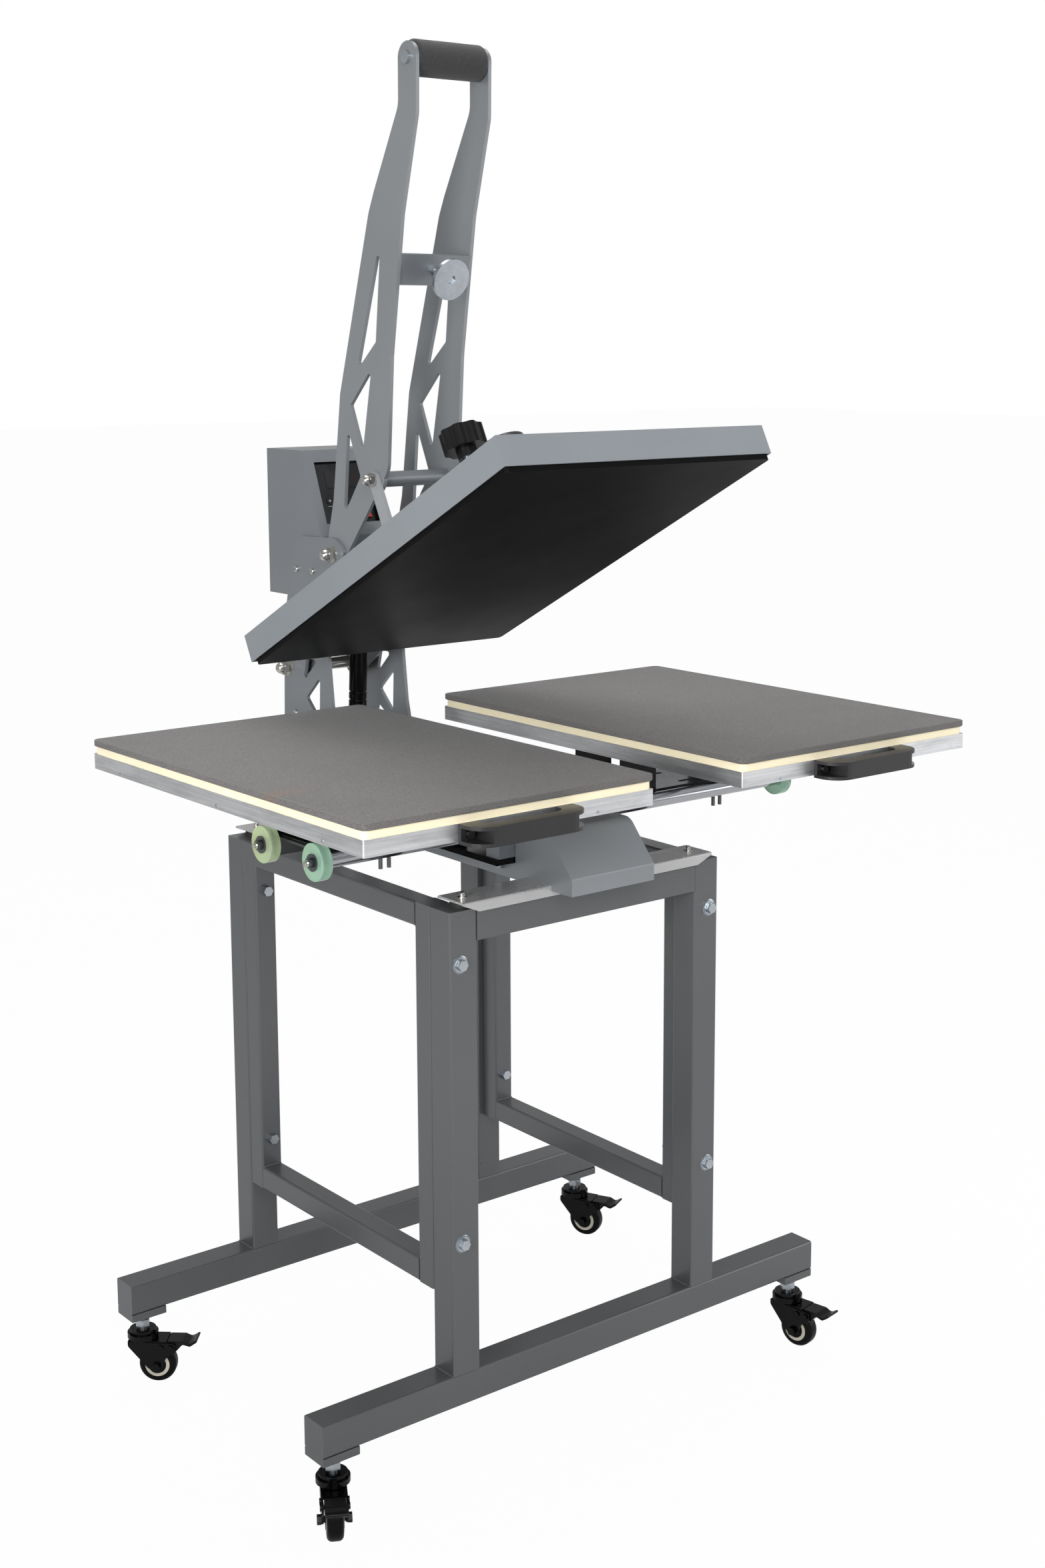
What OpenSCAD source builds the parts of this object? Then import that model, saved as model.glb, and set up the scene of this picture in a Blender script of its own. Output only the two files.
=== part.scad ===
// Dual station heat press on a wheeled stand.
// Origin: on the floor under the middle of the stand. X right, Y to the back, Z up.
// The press is drawn open, with the two lower platens a little to the right of centre.

/* [Stand] */
// Width over the legs
stand_w = 426; // [380:1:480]
// Depth over the legs
stand_d = 502; // [460:1:560]
// Length of the foot tubes
foot_len = 798; // [700:1:900]
// Outside width of the leg, foot and cross tubes
leg_tube = 40; // [35:1:45]
// Outside width of the side frame tubes
side_tube = 30; // [25:1:34]
// Wall of every tube
tube_wall = 2; // [1.5:0.1:3]
// Outside corner radius of every tube
tube_r = 3; // [2.2:0.1:4]
// Height of the stand's top tubes above the floor
stand_top = 718; // [650:1:760]
// Gap between a side frame's lower bar and the foot tube
side_frame_lift = 98; // [60:1:160]
// Height of the mounting plates under the feet
caster_h = 94; // [90:1:100]
// Length of a mounting plate along the foot tube
foot_plate_l = 50; // [40:1:60]
// Thickness of a mounting plate
foot_plate_t = 10; // [6:1:12]

/* [Casters] */
// Diameter of a wheel
wheel_d = 50; // [46:1:52]
// Width of a wheel
wheel_w = 22; // [18:1:24]
// Distance from the swivel axis to the axle
caster_trail = 20; // [16:1:22]
// Diameter of the swivel race
race_d = 41; // [36:1:44]
// Diameter of a wheel axle
axle_d = 8; // [6:0.5:9]

/* [Base] */
// Width of the folded base box
base_w = 130; // [120:1:150]
// Sheet thickness of the base box
base_t = 1.5; // [1:0.1:2]
// Width of the two cross channels
channel_w = 51; // [46:1:60]
// Length of the two cross channels
channel_l = 394; // [360:1:410]
// Depth of a cross channel
channel_h = 13; // [12:0.5:16]
// Sheet thickness of the cross channels
channel_t = 2.5; // [2:0.1:3]
// Height of the rubber mounts under the channels
mount_h = 7.5; // [6:0.5:10]
// Diameter of the rubber mounts
mount_d = 30; // [24:1:36]

/* [Slide] */
// Travel of the carriage to each side of the centre
slide_travel = 268.5; // [240:0.5:280]
// Place of the carriage right of the centre, as drawn
slide_place = 32.5; // [0:0.5:60]
// Diameter of the slide rods
rod_d = 20; // [16:1:22]
// Height of the rod axes above the deck of the base
rod_lift = 41.5; // [40:0.5:46]
// Width of the folded slide channel
slide_w = 92; // [80:1:100]
// Thickness of the slide channel
slide_t = 3; // [2:0.5:4]
// Length of a bearing block
block_l = 44; // [38:1:48]
// Thickness of the plate under the bearing blocks
bearing_plate_t = 8; // [6:1:9]
// Diameter of the rubber stop discs
disc_d = 45; // [40:1:50]
// Thickness of the stop discs
disc_t = 13; // [10:1:16]

/* [Lower platens] */
// Height of the brackets between the slide and the trays
bracket_h = 54.5; // [50:0.5:70]
// Width of a pad, across the machine
platen_w = 400; // [360:1:420]
// Length of a pad, front to back
platen_l = 600; // [560:1:640]
// Thickness of the grey sponge pad
pad_t = 8; // [6:1:10]
// Thickness of the cream silicone layer
cream_t = 9.5; // [8:0.5:12]
// Height of the aluminium tray
tray_h = 19; // [16:1:24]
// Wall of the aluminium tray
tray_wall = 5; // [3:0.5:6]
// Corner radius of the pad
pad_r = 10; // [6:1:14]

/* [Tower] */
// Thickness of the tower plates, the arms and the links
plate_t = 5; // [4:0.5:6]
// Distance of the head pivot behind the middle of the stand
head_pivot_y = 331; // [325:1:340]
// Height of the head pivot above the pads
head_pivot_rise = 36.5; // [35:0.5:38]
// Distance of the arm pivot in front of the head pivot
arm_pivot_fwd = 118; // [116:1:120]
// Height of the arm pivot above the head pivot
arm_pivot_up = 166.5; // [165:0.5:168]
// Diameter of the head pivot rod
head_rod_d = 20; // [16:1:22]
// Diameter of the arm pivot shaft
arm_rod_d = 16; // [12:1:18]

/* [Lever] */
// Reach of the grip in front of the arm pivot
grip_fwd = 181; // [175:1:190]
// Height of the grip above the arm pivot
grip_up = 626; // [600:1:640]
// Diameter of the foam grip
grip_d = 45; // [38:1:48]
// Reach of the toggle shaft in front of the arm pivot
toggle_fwd = 101; // [100:0.5:102]
// Height of the toggle shaft above the arm pivot
toggle_up = 105; // [104:0.5:106]
// Length of a link between its pivots
link_l = 85; // [84.5:0.5:85.5]
// Width of a link
link_w = 20; // [18:1:24]
// Diameter of the toggle tube
toggle_d = 20; // [18:1:22]
// Diameter of the sliding pin at the lower end of the links
float_pin_d = 12; // [10:1:12]

/* [Head] */
// Width of the head cover
head_w = 404.5; // [404:0.5:420]
// Depth of the head cover
head_l = 608.5; // [604:0.5:640]
// Height of the head cover
head_h = 37; // [34:1:40]
// Sheet thickness of the head cover
head_t = 1.5; // [1:0.1:2]
// Amount that the heat platen stands out below the cover
platen_out = 6.5; // [5:0.5:8]
// Thickness of the heat platen
platen_t = 22; // [18:1:25]
// Gap left between the closed heat platen and the pad
press_gap = 0.2; // [0.1:0.1:0.5]
// Height of the yoke above the bottom of the cover
yoke_top = 108; // [104:1:110]
// Diameter of the pressure screw
screw_d = 16; // [12:1:18]
// Diameter of the pressure knob
knob_d = 58; // [50:1:62]
// Height of the pressure knob
knob_h = 28; // [22:1:32]
// Diameter of the holding magnet
magnet_d = 50; // [40:1:54]
// Height of the holding magnet
magnet_h = 35; // [30:1:38]

/* [Gas spring] */
// Diameter of the gas spring's cylinder
gas_d = 25; // [20:1:28]
// Diameter of the gas spring's rod
gas_rod_d = 10; // [8:1:12]
// Length of the gas spring's cylinder
gas_tube_l = 97; // [90:1:105]

/* [Control box] */
// Height of the control box
box_h = 201; // [190:1:215]
// Depth of the control box
box_l = 134; // [125:1:145]
// Sheet thickness of the control box
box_t = 1.5; // [1:0.1:2]

/* [Hidden] */

// Clearance on a radius, side clearance between plates, and the overrun of a cut
run_gap = 0.05;
side_gap = 0.5;
cut = 1;
// Angles: head open, lever travel, links as drawn, casters as drawn
head_tilt = 27.2;
lever_swing = 71;
link_angle = -117;
caster_angles = [-120, -79, -41, -63];

// Levels and lines of the stand
foot_z = caster_h + foot_plate_t;
leg_z = foot_z + leg_tube;
rail_z = stand_top - leg_tube;
leg_x = (stand_w - leg_tube) / 2;
leg_y = (stand_d - leg_tube) / 2;
side_x = (stand_w - side_tube) / 2;
side_z = leg_z + side_frame_lift;
upright_y = leg_y - (leg_tube + side_tube) / 2;
caster_x = (foot_len - foot_plate_l) / 2;

// Bolts of the stand
bolt_d = 8;
bolt_head_d = 14;
bolt_head_h = 5.5;
washer_t = 1.5;
washer_d = 18;
bolt_low = 68;
bolt_high = 64;
frame_bolt_zs = [side_z + bolt_low, stand_top - bolt_high];
stem_d = 12;

// Channels and base box
channel_top = stand_top + mount_h + channel_t;
channel_chamfer = 26;
mount_x = (channel_l - mount_d) / 2 - channel_t;
stud_d = 6;
stud_out = 5;
base_drop = 7;
deck_rise = 13.5;
hood_rise = 50.5;
base_z = channel_top - base_drop;
deck_z = channel_top + deck_rise;
hood_top = deck_z + hood_rise;
lip_out = 43;
lip_h = 20.5;
lip_r = 4;
hood_r = 20;
hood_slope = 45;
hood_back = -186;
lip_y = -stand_d / 2 - lip_out;
hood_front = lip_y + hood_slope;
base_in = base_w / 2 - base_t;
base_behind = 15;
base_back = head_pivot_y + base_behind;

// Slide
rod_z = deck_z + rod_lift;
rod_pitch = slide_w + rod_d;
slide_mid_y = -110;
rod_ys = [slide_mid_y - rod_pitch / 2, slide_mid_y + rod_pitch / 2];
block_x = 89;
block_w = 26;
block_off = 6;
block_over = 19;
block_bolt_x = 78;
block_bolt_ys = [rod_ys[0] - block_off, rod_ys[1] + block_off];
stop_play = 5;
rod_half = block_x + slide_travel + stop_play;
slide_lip = 1;
slide_top = rod_z + rod_d / 2 + slide_lip;
slide_flange = 24;
plate_top = deck_z + bearing_plate_t;

// Lower platens
tray_inset = 1.75;
cream_inset = 3.25;
tray_z = slide_top + bracket_h;
pad_top = tray_z + tray_h + cream_t + pad_t;
platen_pitch = 2 * slide_travel;
platen_y = -109;
platen_front = platen_y - platen_l / 2;

// Turns point p about c by a degrees, towards closing the head
function swing(p, c, a) = c + [(p - c)[0] * cos(a) - (p - c)[1] * sin(a),
                               (p - c)[0] * sin(a) + (p - c)[1] * cos(a)];
// A place in the rectangle that has c and d as opposite corners, from its two shares s
function between(c, d, s) = c + [s[0] * (d - c)[0], s[1] * (d - c)[1]];

// Pivots in the side view, as [y, z]
head_pivot = [head_pivot_y, pad_top + head_pivot_rise];
arm_pivot = head_pivot + [-arm_pivot_fwd, arm_pivot_up];
toggle = arm_pivot + [-toggle_fwd, toggle_up];
grip = arm_pivot + [-grip_fwd, grip_up];
float_pin_at = toggle + link_l * [cos(link_angle), sin(link_angle)];

// Gas spring pivots as drawn, and the lead of its lower pin over the middle of the eye
gas_top_fwd = 85;
gas_top_up = 48.5;
gas_foot_fwd = 72;
gas_foot_down = 161.5;
gas_lead_fwd = 0.8;
gas_lead_up = 0.3;
gas_top = head_pivot + [-gas_top_fwd, gas_top_up];
gas_foot = head_pivot + [-gas_foot_fwd, -gas_foot_down];
gas_foot_pin = gas_foot + [-gas_lead_fwd, gas_lead_up];
gas_pin_d = 8;

// Plates side by side along X, given as the middle of each plate
yoke_gap = 3;
tower_x = base_in - plate_t / 2;
arm_x = tower_x - plate_t - side_gap;
link_x = tower_x;
yoke_x = arm_x - plate_t - yoke_gap;
tower_front = arm_pivot[0] - side_gap;

// Closed head: the cover's bottom edge and its rear face
cover_gap = 138;
cover_z = pad_top + press_gap + platen_out;
cover_back = head_pivot_y - cover_gap;
screw_y = cover_back - head_l / 2;

module rounded_square(w, h, r) {
    square([w - 2 * r, h], center = true);
    square([w, h - 2 * r], center = true);
    for (i = [-1, 1], j = [-1, 1])
        translate([i * (w / 2 - r), j * (h / 2 - r)]) circle(r, $fn = 16);
}

// Unit vector, and the points of an outline whose corners are rounded by the radii in rs
function unit(v) = v / norm(v);
function fillet(pts, rs, n = 5) = let (m = len(pts)) [
    for (i = [0:m - 1])
        let (p = pts[i], a = unit(pts[(i + m - 1) % m] - p), b = unit(pts[(i + 1) % m] - p),
             half = acos(min(1, max(-1, a * b))) / 2, d = rs[i] / tan(half),
             mid = p + unit(a + b) * rs[i] / sin(half), s = p + a * d - mid, e = p + b * d - mid,
             sweep = atan2(s[0] * e[1] - s[1] * e[0], s * e))
        for (k = [0:(rs[i] > 0 ? n : 0)])
            rs[i] > 0 ? mid + [s[0] * cos(sweep * k / n) - s[1] * sin(sweep * k / n),
                               s[0] * sin(sweep * k / n) + s[1] * cos(sweep * k / n)] : p];

// Gives a side view outline (y, z) a thickness t about the plane x
module side_plate(x, t) {
    translate([x - t / 2, 0, 0]) rotate([90, 0, 90]) linear_extrude(t) children();
}

// A round bar along X about a point of the side view
module cross_bar(p, d, l, x = 0, fn = 48) {
    translate([x - l / 2, p[0], p[1]]) rotate([0, 90, 0]) cylinder(l, d = d, $fn = fn);
}

module hex(d, h) {
    cylinder(h, d = d, $fn = 6);
}

// A domed nut of width d that stands on z = 0
module acorn_nut(d) {
    hex(d, d * 0.35);
    rotate_extrude($fn = 32) intersection() {
        union() {
            square([d * 0.42, d * 0.42]);
            translate([0, d * 0.42]) circle(d * 0.42, $fn = 32);
        }
        square(d);
    }
}

// A square tube along Z, closed at both ends
module tube(w, l) {
    difference() {
        linear_extrude(l) rounded_square(w, w, tube_r);
        translate([0, 0, tube_wall]) linear_extrude(l - 2 * tube_wall) square(w - 2 * tube_wall, center = true);
    }
}

// One end frame: a foot tube, two legs, a top rail and two mounting plates
module end_frame(s) {
    translate([0, s * leg_y, 0]) difference() {
        union() {
            translate([-foot_len / 2, 0, foot_z + leg_tube / 2]) rotate([0, 90, 0]) tube(leg_tube, foot_len);
            for (i = [-1, 1]) {
                translate([i * leg_x, 0, leg_z]) tube(leg_tube, stand_top - leg_z);
                translate([i * caster_x, 0, caster_h + foot_plate_t / 2])
                    cube([foot_plate_l, leg_tube, foot_plate_t], center = true);
            }
            translate([-leg_x + leg_tube / 2, 0, rail_z + leg_tube / 2]) rotate([0, 90, 0])
                tube(leg_tube, 2 * leg_x - leg_tube);
        }
        for (i = [-1, 1], z = frame_bolt_zs) translate([i * side_x, 0, z]) rotate([90, 0, 0])
            cylinder(leg_tube + 2 * cut, d = bolt_d, center = true, $fn = 24);
        for (i = [-1, 1]) translate([i * caster_x, 0, caster_h - cut])
            cylinder(foot_plate_t + tube_wall + cut, d = stem_d, $fn = 32);
    }
}

module front_frame() {
    color([0.36, 0.37, 0.38]) end_frame(-1);
}

module rear_frame() {
    color([0.36, 0.37, 0.38]) end_frame(1);
}

// A welded ring of four tubes between the front and the rear leg, on each side
module side_frames() {
    l = 2 * upright_y - side_tube;
    h = stand_top - side_z;
    color([0.36, 0.37, 0.38]) for (i = [-1, 1]) translate([i * side_x, 0, 0]) difference() {
        union() {
            for (j = [-1, 1]) translate([0, j * upright_y, side_z]) tube(side_tube, h);
            for (z = [side_z + side_tube / 2, stand_top - side_tube / 2])
                translate([0, l / 2, z]) rotate([90, 0, 0]) tube(side_tube, l);
        }
        for (j = [-1, 1], z = frame_bolt_zs) translate([0, j * upright_y, z])
            rotate([90, 0, 0]) cylinder(side_tube + 2 * cut, d = bolt_d, center = true, $fn = 24);
    }
}

// Through bolts with washers and nuts that join each leg to its side frame
module frame_bolts() {
    l = leg_tube + side_tube + bolt_d;
    color([0.75, 0.75, 0.72]) for (i = [-1, 1], j = [-1, 1], z = frame_bolt_zs)
        translate([i * side_x, j * stand_d / 2, z]) rotate([j * -90, 0, 0]) {
            translate([0, 0, -l]) cylinder(l, d = bolt_d, $fn = 24);
            cylinder(washer_t, d = washer_d, $fn = 32);
            translate([0, 0, washer_t]) hex(bolt_head_d, bolt_head_h);
            translate([0, 0, -l]) hex(bolt_head_d, bolt_d);
        }
}

module rubber_mounts() {
    color([0.1, 0.1, 0.1]) for (i = [-1, 1], j = [-1, 1])
        translate([i * mount_x, j * leg_y, stand_top]) cylinder(mount_h, d = mount_d, $fn = 40);
}

// Two inverted channels that straddle the top rails, with their flange ends cut off at a slant
module cross_channels() {
    w = channel_w / 2;
    low = channel_h - channel_t;
    color([0.42, 0.43, 0.44]) for (j = [-1, 1])
        translate([0, j * leg_y, channel_top - channel_h]) difference() {
            side_plate(0, channel_l) difference() {
                polygon(fillet([[-w, 0], [w, 0], [w, channel_h], [-w, channel_h]],
                               [0, 0, channel_t, channel_t]));
                translate([-w + channel_t, -cut]) square([2 * w - 2 * channel_t, low + cut]);
            }
            for (i = [-1, 1]) translate([i * channel_l / 2, 0, 0]) rotate([90, 0, 0])
                linear_extrude(channel_w + 2 * cut, center = true)
                    polygon([[i * cut, -cut], [-i * channel_chamfer, -cut], [i * cut, low]]);
            for (i = [-1, 1]) translate([i * mount_x, 0, 0]) cylinder(channel_h + cut, d = stud_d, $fn = 24);
        }
}

// Folded box: low deck at the back and a sloping hood at the front
module base_box() {
    hood = [[lip_y, base_z], [hood_back, base_z], [hood_back, hood_top], [hood_front, hood_top],
            [lip_y, base_z + lip_h]];
    inside = [[lip_y + base_t, base_z - cut], [hood_back - base_t, base_z - cut],
              [hood_back - base_t, hood_top - base_t], [hood_front + base_t / 2, hood_top - base_t],
              [lip_y + base_t, base_z + lip_h - base_t / 2]];
    notch = channel_w / 2 + side_gap;
    slot = [plate_t, base_back - base_t - tower_front, 4 * base_t];
    color([0.47, 0.49, 0.51]) difference() {
        union() {
            side_plate(0, base_w) polygon(fillet(hood, [0, 0, 0, hood_r, lip_r]));
            side_plate(0, base_w) translate([hood_back, base_z])
                square([base_back - hood_back, deck_z - base_z]);
        }
        side_plate(0, 2 * base_in) polygon(fillet(inside, [0, 0, 0, hood_r - base_t, lip_r - base_t]));
        side_plate(0, 2 * base_in) translate([hood_back - 2 * base_t, base_z - cut])
            square([base_back - hood_back + base_t, deck_z - base_z - base_t + cut]);
        for (j = [-1, 1]) side_plate(0, base_w + 2 * cut) translate([j * leg_y, channel_top - channel_h])
            polygon(fillet([[-notch, -channel_h], [notch, -channel_h], [notch, channel_h], [-notch, channel_h]],
                           [0, 0, channel_t, channel_t]));
        for (i = [-1, 1]) translate([i * tower_x, tower_front + slot[1] / 2, deck_z]) cube(slot, center = true);
    }
}

// Small fasteners of the base: channel studs, side screws along the box and tower screws
side_screw_shares = [0.279, 0.373, 0.553, 0.66, 0.93];
side_screw_d = 7;
side_screw_h = 2;
ear_screw_d = 9;
ear_screw_shares = [[0.407, -0.156], [0.746, -0.156], [0.83, -1.37]];
module base_screws() {
    color([0.75, 0.75, 0.72]) {
        for (i = [-1, 1], j = [-1, 1]) translate([i * mount_x, j * leg_y, channel_top - channel_t])
            cylinder(channel_t + stud_out, d = stud_d, $fn = 24);
        for (i = [-1, 1], s = side_screw_shares)
            translate([i * base_w / 2, lip_y + s * (base_back - lip_y), deck_z - side_screw_d * 0.6])
            rotate([0, i * 90, 0]) cylinder(side_screw_h, d = side_screw_d, $fn = 24);
        for (i = [-1, 1], s = ear_screw_shares)
            translate([i * (tower_x + plate_t / 2), arm_pivot[0] + s[0] * arm_pivot_fwd,
                       arm_pivot[1] + s[1] * arm_pivot_up])
            rotate([0, i * 90, 0]) cylinder(side_screw_h, d = ear_screw_d, $fn = 24);
    }
}

bearing_plate_l = 148;
module bearing_plate() {
    color([0.3, 0.31, 0.32]) difference() {
        translate([0, slide_mid_y, deck_z + bearing_plate_t / 2])
            cube([2 * block_x + 2 * slide_t, bearing_plate_l, bearing_plate_t], center = true);
        for (i = [-1, 1], y = block_bolt_ys) translate([i * block_bolt_x, y, deck_z - cut])
            cylinder(bearing_plate_t + 2 * cut, d = bolt_d, $fn = 24);
    }
}

// Four open bearing blocks, each with a bore round its rod and a mouth towards the slide channel
module bearing_blocks() {
    h = rod_z + block_over - plate_top;
    color([0.62, 0.63, 0.64]) for (i = [-1, 1], j = [0, 1]) {
        s = 2 * j - 1;
        x = i * (block_x - block_l / 2);
        difference() {
            translate([x, rod_ys[j] + s * block_off, plate_top + h / 2])
                cube([block_l, block_w, h], center = true);
            cross_bar([rod_ys[j], rod_z], rod_d + 2 * run_gap, block_l + 2 * cut, x);
            translate([x, rod_ys[j] - s * rod_d / 2, rod_z])
                cube([block_l + 2 * cut, rod_d, rod_d * 0.7], center = true);
        }
        translate([i * block_bolt_x, block_bolt_ys[j], deck_z]) {
            cylinder(bearing_plate_t, d = bolt_d, $fn = 24);
            translate([0, 0, -bolt_head_h]) hex(bolt_head_d, bolt_head_h);
        }
    }
}

// Tower side plate. Its outline and windows follow the line from the head pivot to the arm pivot,
// in shares of its two legs.
tower_shares = [[-0.10, -0.57], [-0.07, 0], [0.015, 0.56], [0.178, 1.04], [0.31, 1.12], [1.07, 1.135],
                [1.2, 1.075], [1.243, 1.035], [0.88, 0.16], [0.95, -0.27], [1, -0.418]];
tower_r_shares = [0.08, 0.07, 0.25, 0.2, 0.17, 0.2, 0.17, 0.05, 0.25, 0.17, 0];
window_shares = [[[0.398, -0.219], [0.703, -0.021], [0.678, -0.405]],
                 [[0.339, -0.1], [0.415, 0.105], [0.661, 0.117]],
                 [[0.356, -0.339], [0.24, -0.62], [0.2, -0.9], [0.78, -0.9], [0.78, -0.53]]];
window_r_share = 0.03;

module tower_plate(i) {
    outline = [for (s = tower_shares) between(head_pivot, arm_pivot, s)];
    rs = [for (s = tower_r_shares) s * arm_pivot_fwd];
    difference() {
        side_plate(i * tower_x, plate_t) difference() {
            polygon(fillet(concat([[base_back - base_t, channel_top]], outline, [[tower_front, channel_top]]),
                           concat([0], rs, [0])));
            for (w = window_shares) polygon(fillet([for (s = w) between(head_pivot, arm_pivot, s)],
                                                   [for (s = w) window_r_share * arm_pivot_fwd]));
        }
        cross_bar(head_pivot, head_rod_d, plate_t + 2 * cut, i * tower_x);
        cross_bar(arm_pivot, arm_rod_d, plate_t + 2 * cut, i * tower_x);
        cross_bar(gas_foot_pin, gas_pin_d, plate_t + 2 * cut, i * tower_x);
    }
}

module tower_left() {
    color([0.5, 0.52, 0.54]) tower_plate(-1);
}

module tower_right() {
    color([0.5, 0.52, 0.54]) tower_plate(1);
}

// Cross rods of the tower with their domed nuts, and the lower pin of the gas spring
nut_d = 20;
module tower_shafts() {
    out = tower_x + plate_t / 2;
    color([0.78, 0.77, 0.74]) {
        cross_bar(head_pivot, head_rod_d, 2 * out);
        cross_bar(arm_pivot, arm_rod_d, 2 * out);
        cross_bar(gas_foot_pin, gas_pin_d, 2 * out);
        for (p = [head_pivot, arm_pivot], i = [-1, 1]) translate([i * out, p[0], p[1]])
            rotate([0, i * 90, 0]) {
                cylinder(washer_t, d = nut_d + 2 * washer_t, $fn = 32);
                translate([0, 0, washer_t]) acorn_nut(nut_d);
            }
    }
}

// Zinc bearing discs that keep the yoke centred on its rod
pivot_disc_d = 36;
module pivot_discs() {
    inner = yoke_x + plate_t / 2 + run_gap;
    outer = tower_x - plate_t / 2;
    color([0.8, 0.72, 0.45]) for (i = [-1, 1]) difference() {
        cross_bar(head_pivot, pivot_disc_d, outer - inner, i * (outer + inner) / 2);
        cross_bar(head_pivot, head_rod_d, outer, i * (outer + inner) / 2);
    }
}

// Box profile: upright back and bottom front, and a face that leans back above it
box_drop = 65;
box_ahead = 84;
face_back = 43;
face_low = 86;
box_z = arm_pivot[1] - box_drop;
box_y = head_pivot_y - box_ahead;
box_w = 2 * tower_x - plate_t;
face_angle = 90 - atan2(face_back, box_h - face_low);
face_l = norm([face_back, box_h - face_low]);
function box_outline(g) = [[box_y + g, box_z + g], [box_y + box_l - g, box_z + g],
    [box_y + box_l - g, box_z + box_h - g], [box_y + face_back + g / 2, box_z + box_h - g],
    [box_y + g, box_z + face_low - g / 2]];

// Puts children at the middle of the sloping face, X across and Y up the face
module on_face() {
    translate([0, box_y, box_z + face_low]) rotate([face_angle, 0, 0]) translate([0, face_l / 2, 0]) children();
}

panel_w = 88;
panel_l = 88;
panel_t = 3;
panel_rim = 6;
panel_sink = 8;
module control_box() {
    color([0.5, 0.52, 0.54]) difference() {
        side_plate(0, box_w) polygon(box_outline(0));
        side_plate(0, box_w - 2 * box_t) polygon(box_outline(box_t));
        on_face() cube([panel_w, panel_l, panel_sink], center = true);
    }
}

// Black plate behind the window of the box, with a flat display, four flat keys and its spacers
display_w = 54;
display_l = 24;
display_t = 1.5;
display_up = 20;
key_d = 9;
key_pitch = 14;
key_down = 10;
switch_w = 13;
switch_l = 19;
switch_x = 28;
switch_down = 28;
module control_panel() {
    color([0.06, 0.06, 0.07]) on_face() translate([0, 0, -panel_sink]) {
        difference() {
            cube([panel_w + 2 * panel_rim, panel_l + 2 * panel_rim, panel_t], center = true);
            translate([switch_x, -switch_down, 0]) cube([switch_w, switch_l, 2 * panel_t], center = true);
        }
        translate([0, display_up, (panel_t + display_t) / 2])
            cube([display_w, display_l, display_t], center = true);
        for (k = [-2:1]) translate([k * key_pitch, -key_down, panel_t / 2])
            cylinder(display_t, d = key_d, $fn = 24);
        for (i = [-1, 1], j = [-1, 1])
            translate([i * (panel_w + panel_rim) / 2, j * (panel_l + panel_rim) / 2, 0])
            cylinder(panel_sink - box_t, d = panel_t, $fn = 16);
    }
}

// Red rocker that tips about a pin across the panel
rocker_shares = [[-0.42, -0.1], [0.42, -0.1], [0.45, 0.12], [0, 0.16], [-0.44, 0.26]];
rocker_pin_d = 2.5;
module rocker_switch() {
    color([0.7, 0.08, 0.06]) on_face() translate([switch_x, -switch_down, -panel_sink]) rotate([90, 0, 90]) {
        linear_extrude(switch_w - 2 * side_gap, center = true) polygon(rocker_shares * switch_l);
        cylinder(switch_w - side_gap, d = rocker_pin_d, center = true, $fn = 24);
    }
}

// Threaded stems and lock nuts of the four casters
fork_top = 1.2 * wheel_d;
race_h = 13;
stem_nut_d = 20;
stem_nut_h = 9;
module caster_stems() {
    low = fork_top + race_h;
    color([0.75, 0.75, 0.72]) for (i = [-1, 1], j = [-1, 1]) translate([i * caster_x, j * leg_y, low]) {
        cylinder(foot_z + tube_wall - low, d = stem_d, $fn = 32);
        translate([0, 0, axle_d / 2]) hex(stem_nut_d, stem_nut_h);
    }
}

// Black cable from the bottom of the control box, bent into the left tower plate
cable_d = 7;
cable_bend = 18;
cable_in = 20;
cable_down = 14;
cable_ahead = 9;
module heater_cable() {
    y = head_pivot_y - cable_ahead;
    z = box_z - cable_down;
    flat = tower_x - plate_t / 2 - cable_in - cable_bend;
    color([0.05, 0.05, 0.05]) {
        translate([-flat, y, z]) cylinder(cable_down, d = cable_d, $fn = 24);
        translate([-flat - cable_bend, y, z]) rotate([90, 0, 0]) mirror([0, 1, 0])
            rotate_extrude(angle = 90, $fn = 48) translate([cable_bend, 0]) circle(d = cable_d, $fn = 24);
        translate([-flat - cable_bend - cable_in, y, z - cable_bend]) rotate([0, 90, 0])
            cylinder(cable_in, d = cable_d, $fn = 24);
    }
}

// Closed head parts are drawn flat on the pads and turned open about the head pivot
module opened() {
    translate([0, head_pivot[0], head_pivot[1]]) rotate([-head_tilt, 0, 0])
        translate([0, -head_pivot[0], -head_pivot[1]]) children();
}

module head_cover() {
    color([0.66, 0.68, 0.7]) opened() difference() {
        translate([-head_w / 2, cover_back - head_l, cover_z]) cube([head_w, head_l, head_h]);
        translate([-head_w / 2 + head_t, cover_back - head_l + head_t, cover_z - cut])
            cube([head_w - 2 * head_t, head_l - 2 * head_t, head_h - head_t + cut]);
    }
}

// Cast heating plate, hung from the cover on four posts
post_d = 20;
post_shares = [0.35, 0.38];
platen_shift = 2;
platen_r = 6;
module heat_platen() {
    low = cover_z - platen_out;
    posts = platen_out + head_h - head_t;
    color([0.07, 0.07, 0.07]) opened() translate([0, screw_y - platen_shift, low]) {
        linear_extrude(platen_t) rounded_square(platen_w, platen_l, platen_r);
        for (i = [-1, 1], j = [-1, 1])
            translate([i * post_shares[0] * platen_w, j * post_shares[1] * platen_l, 0])
            cylinder(posts, d = post_d, $fn = 32);
    }
}

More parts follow.
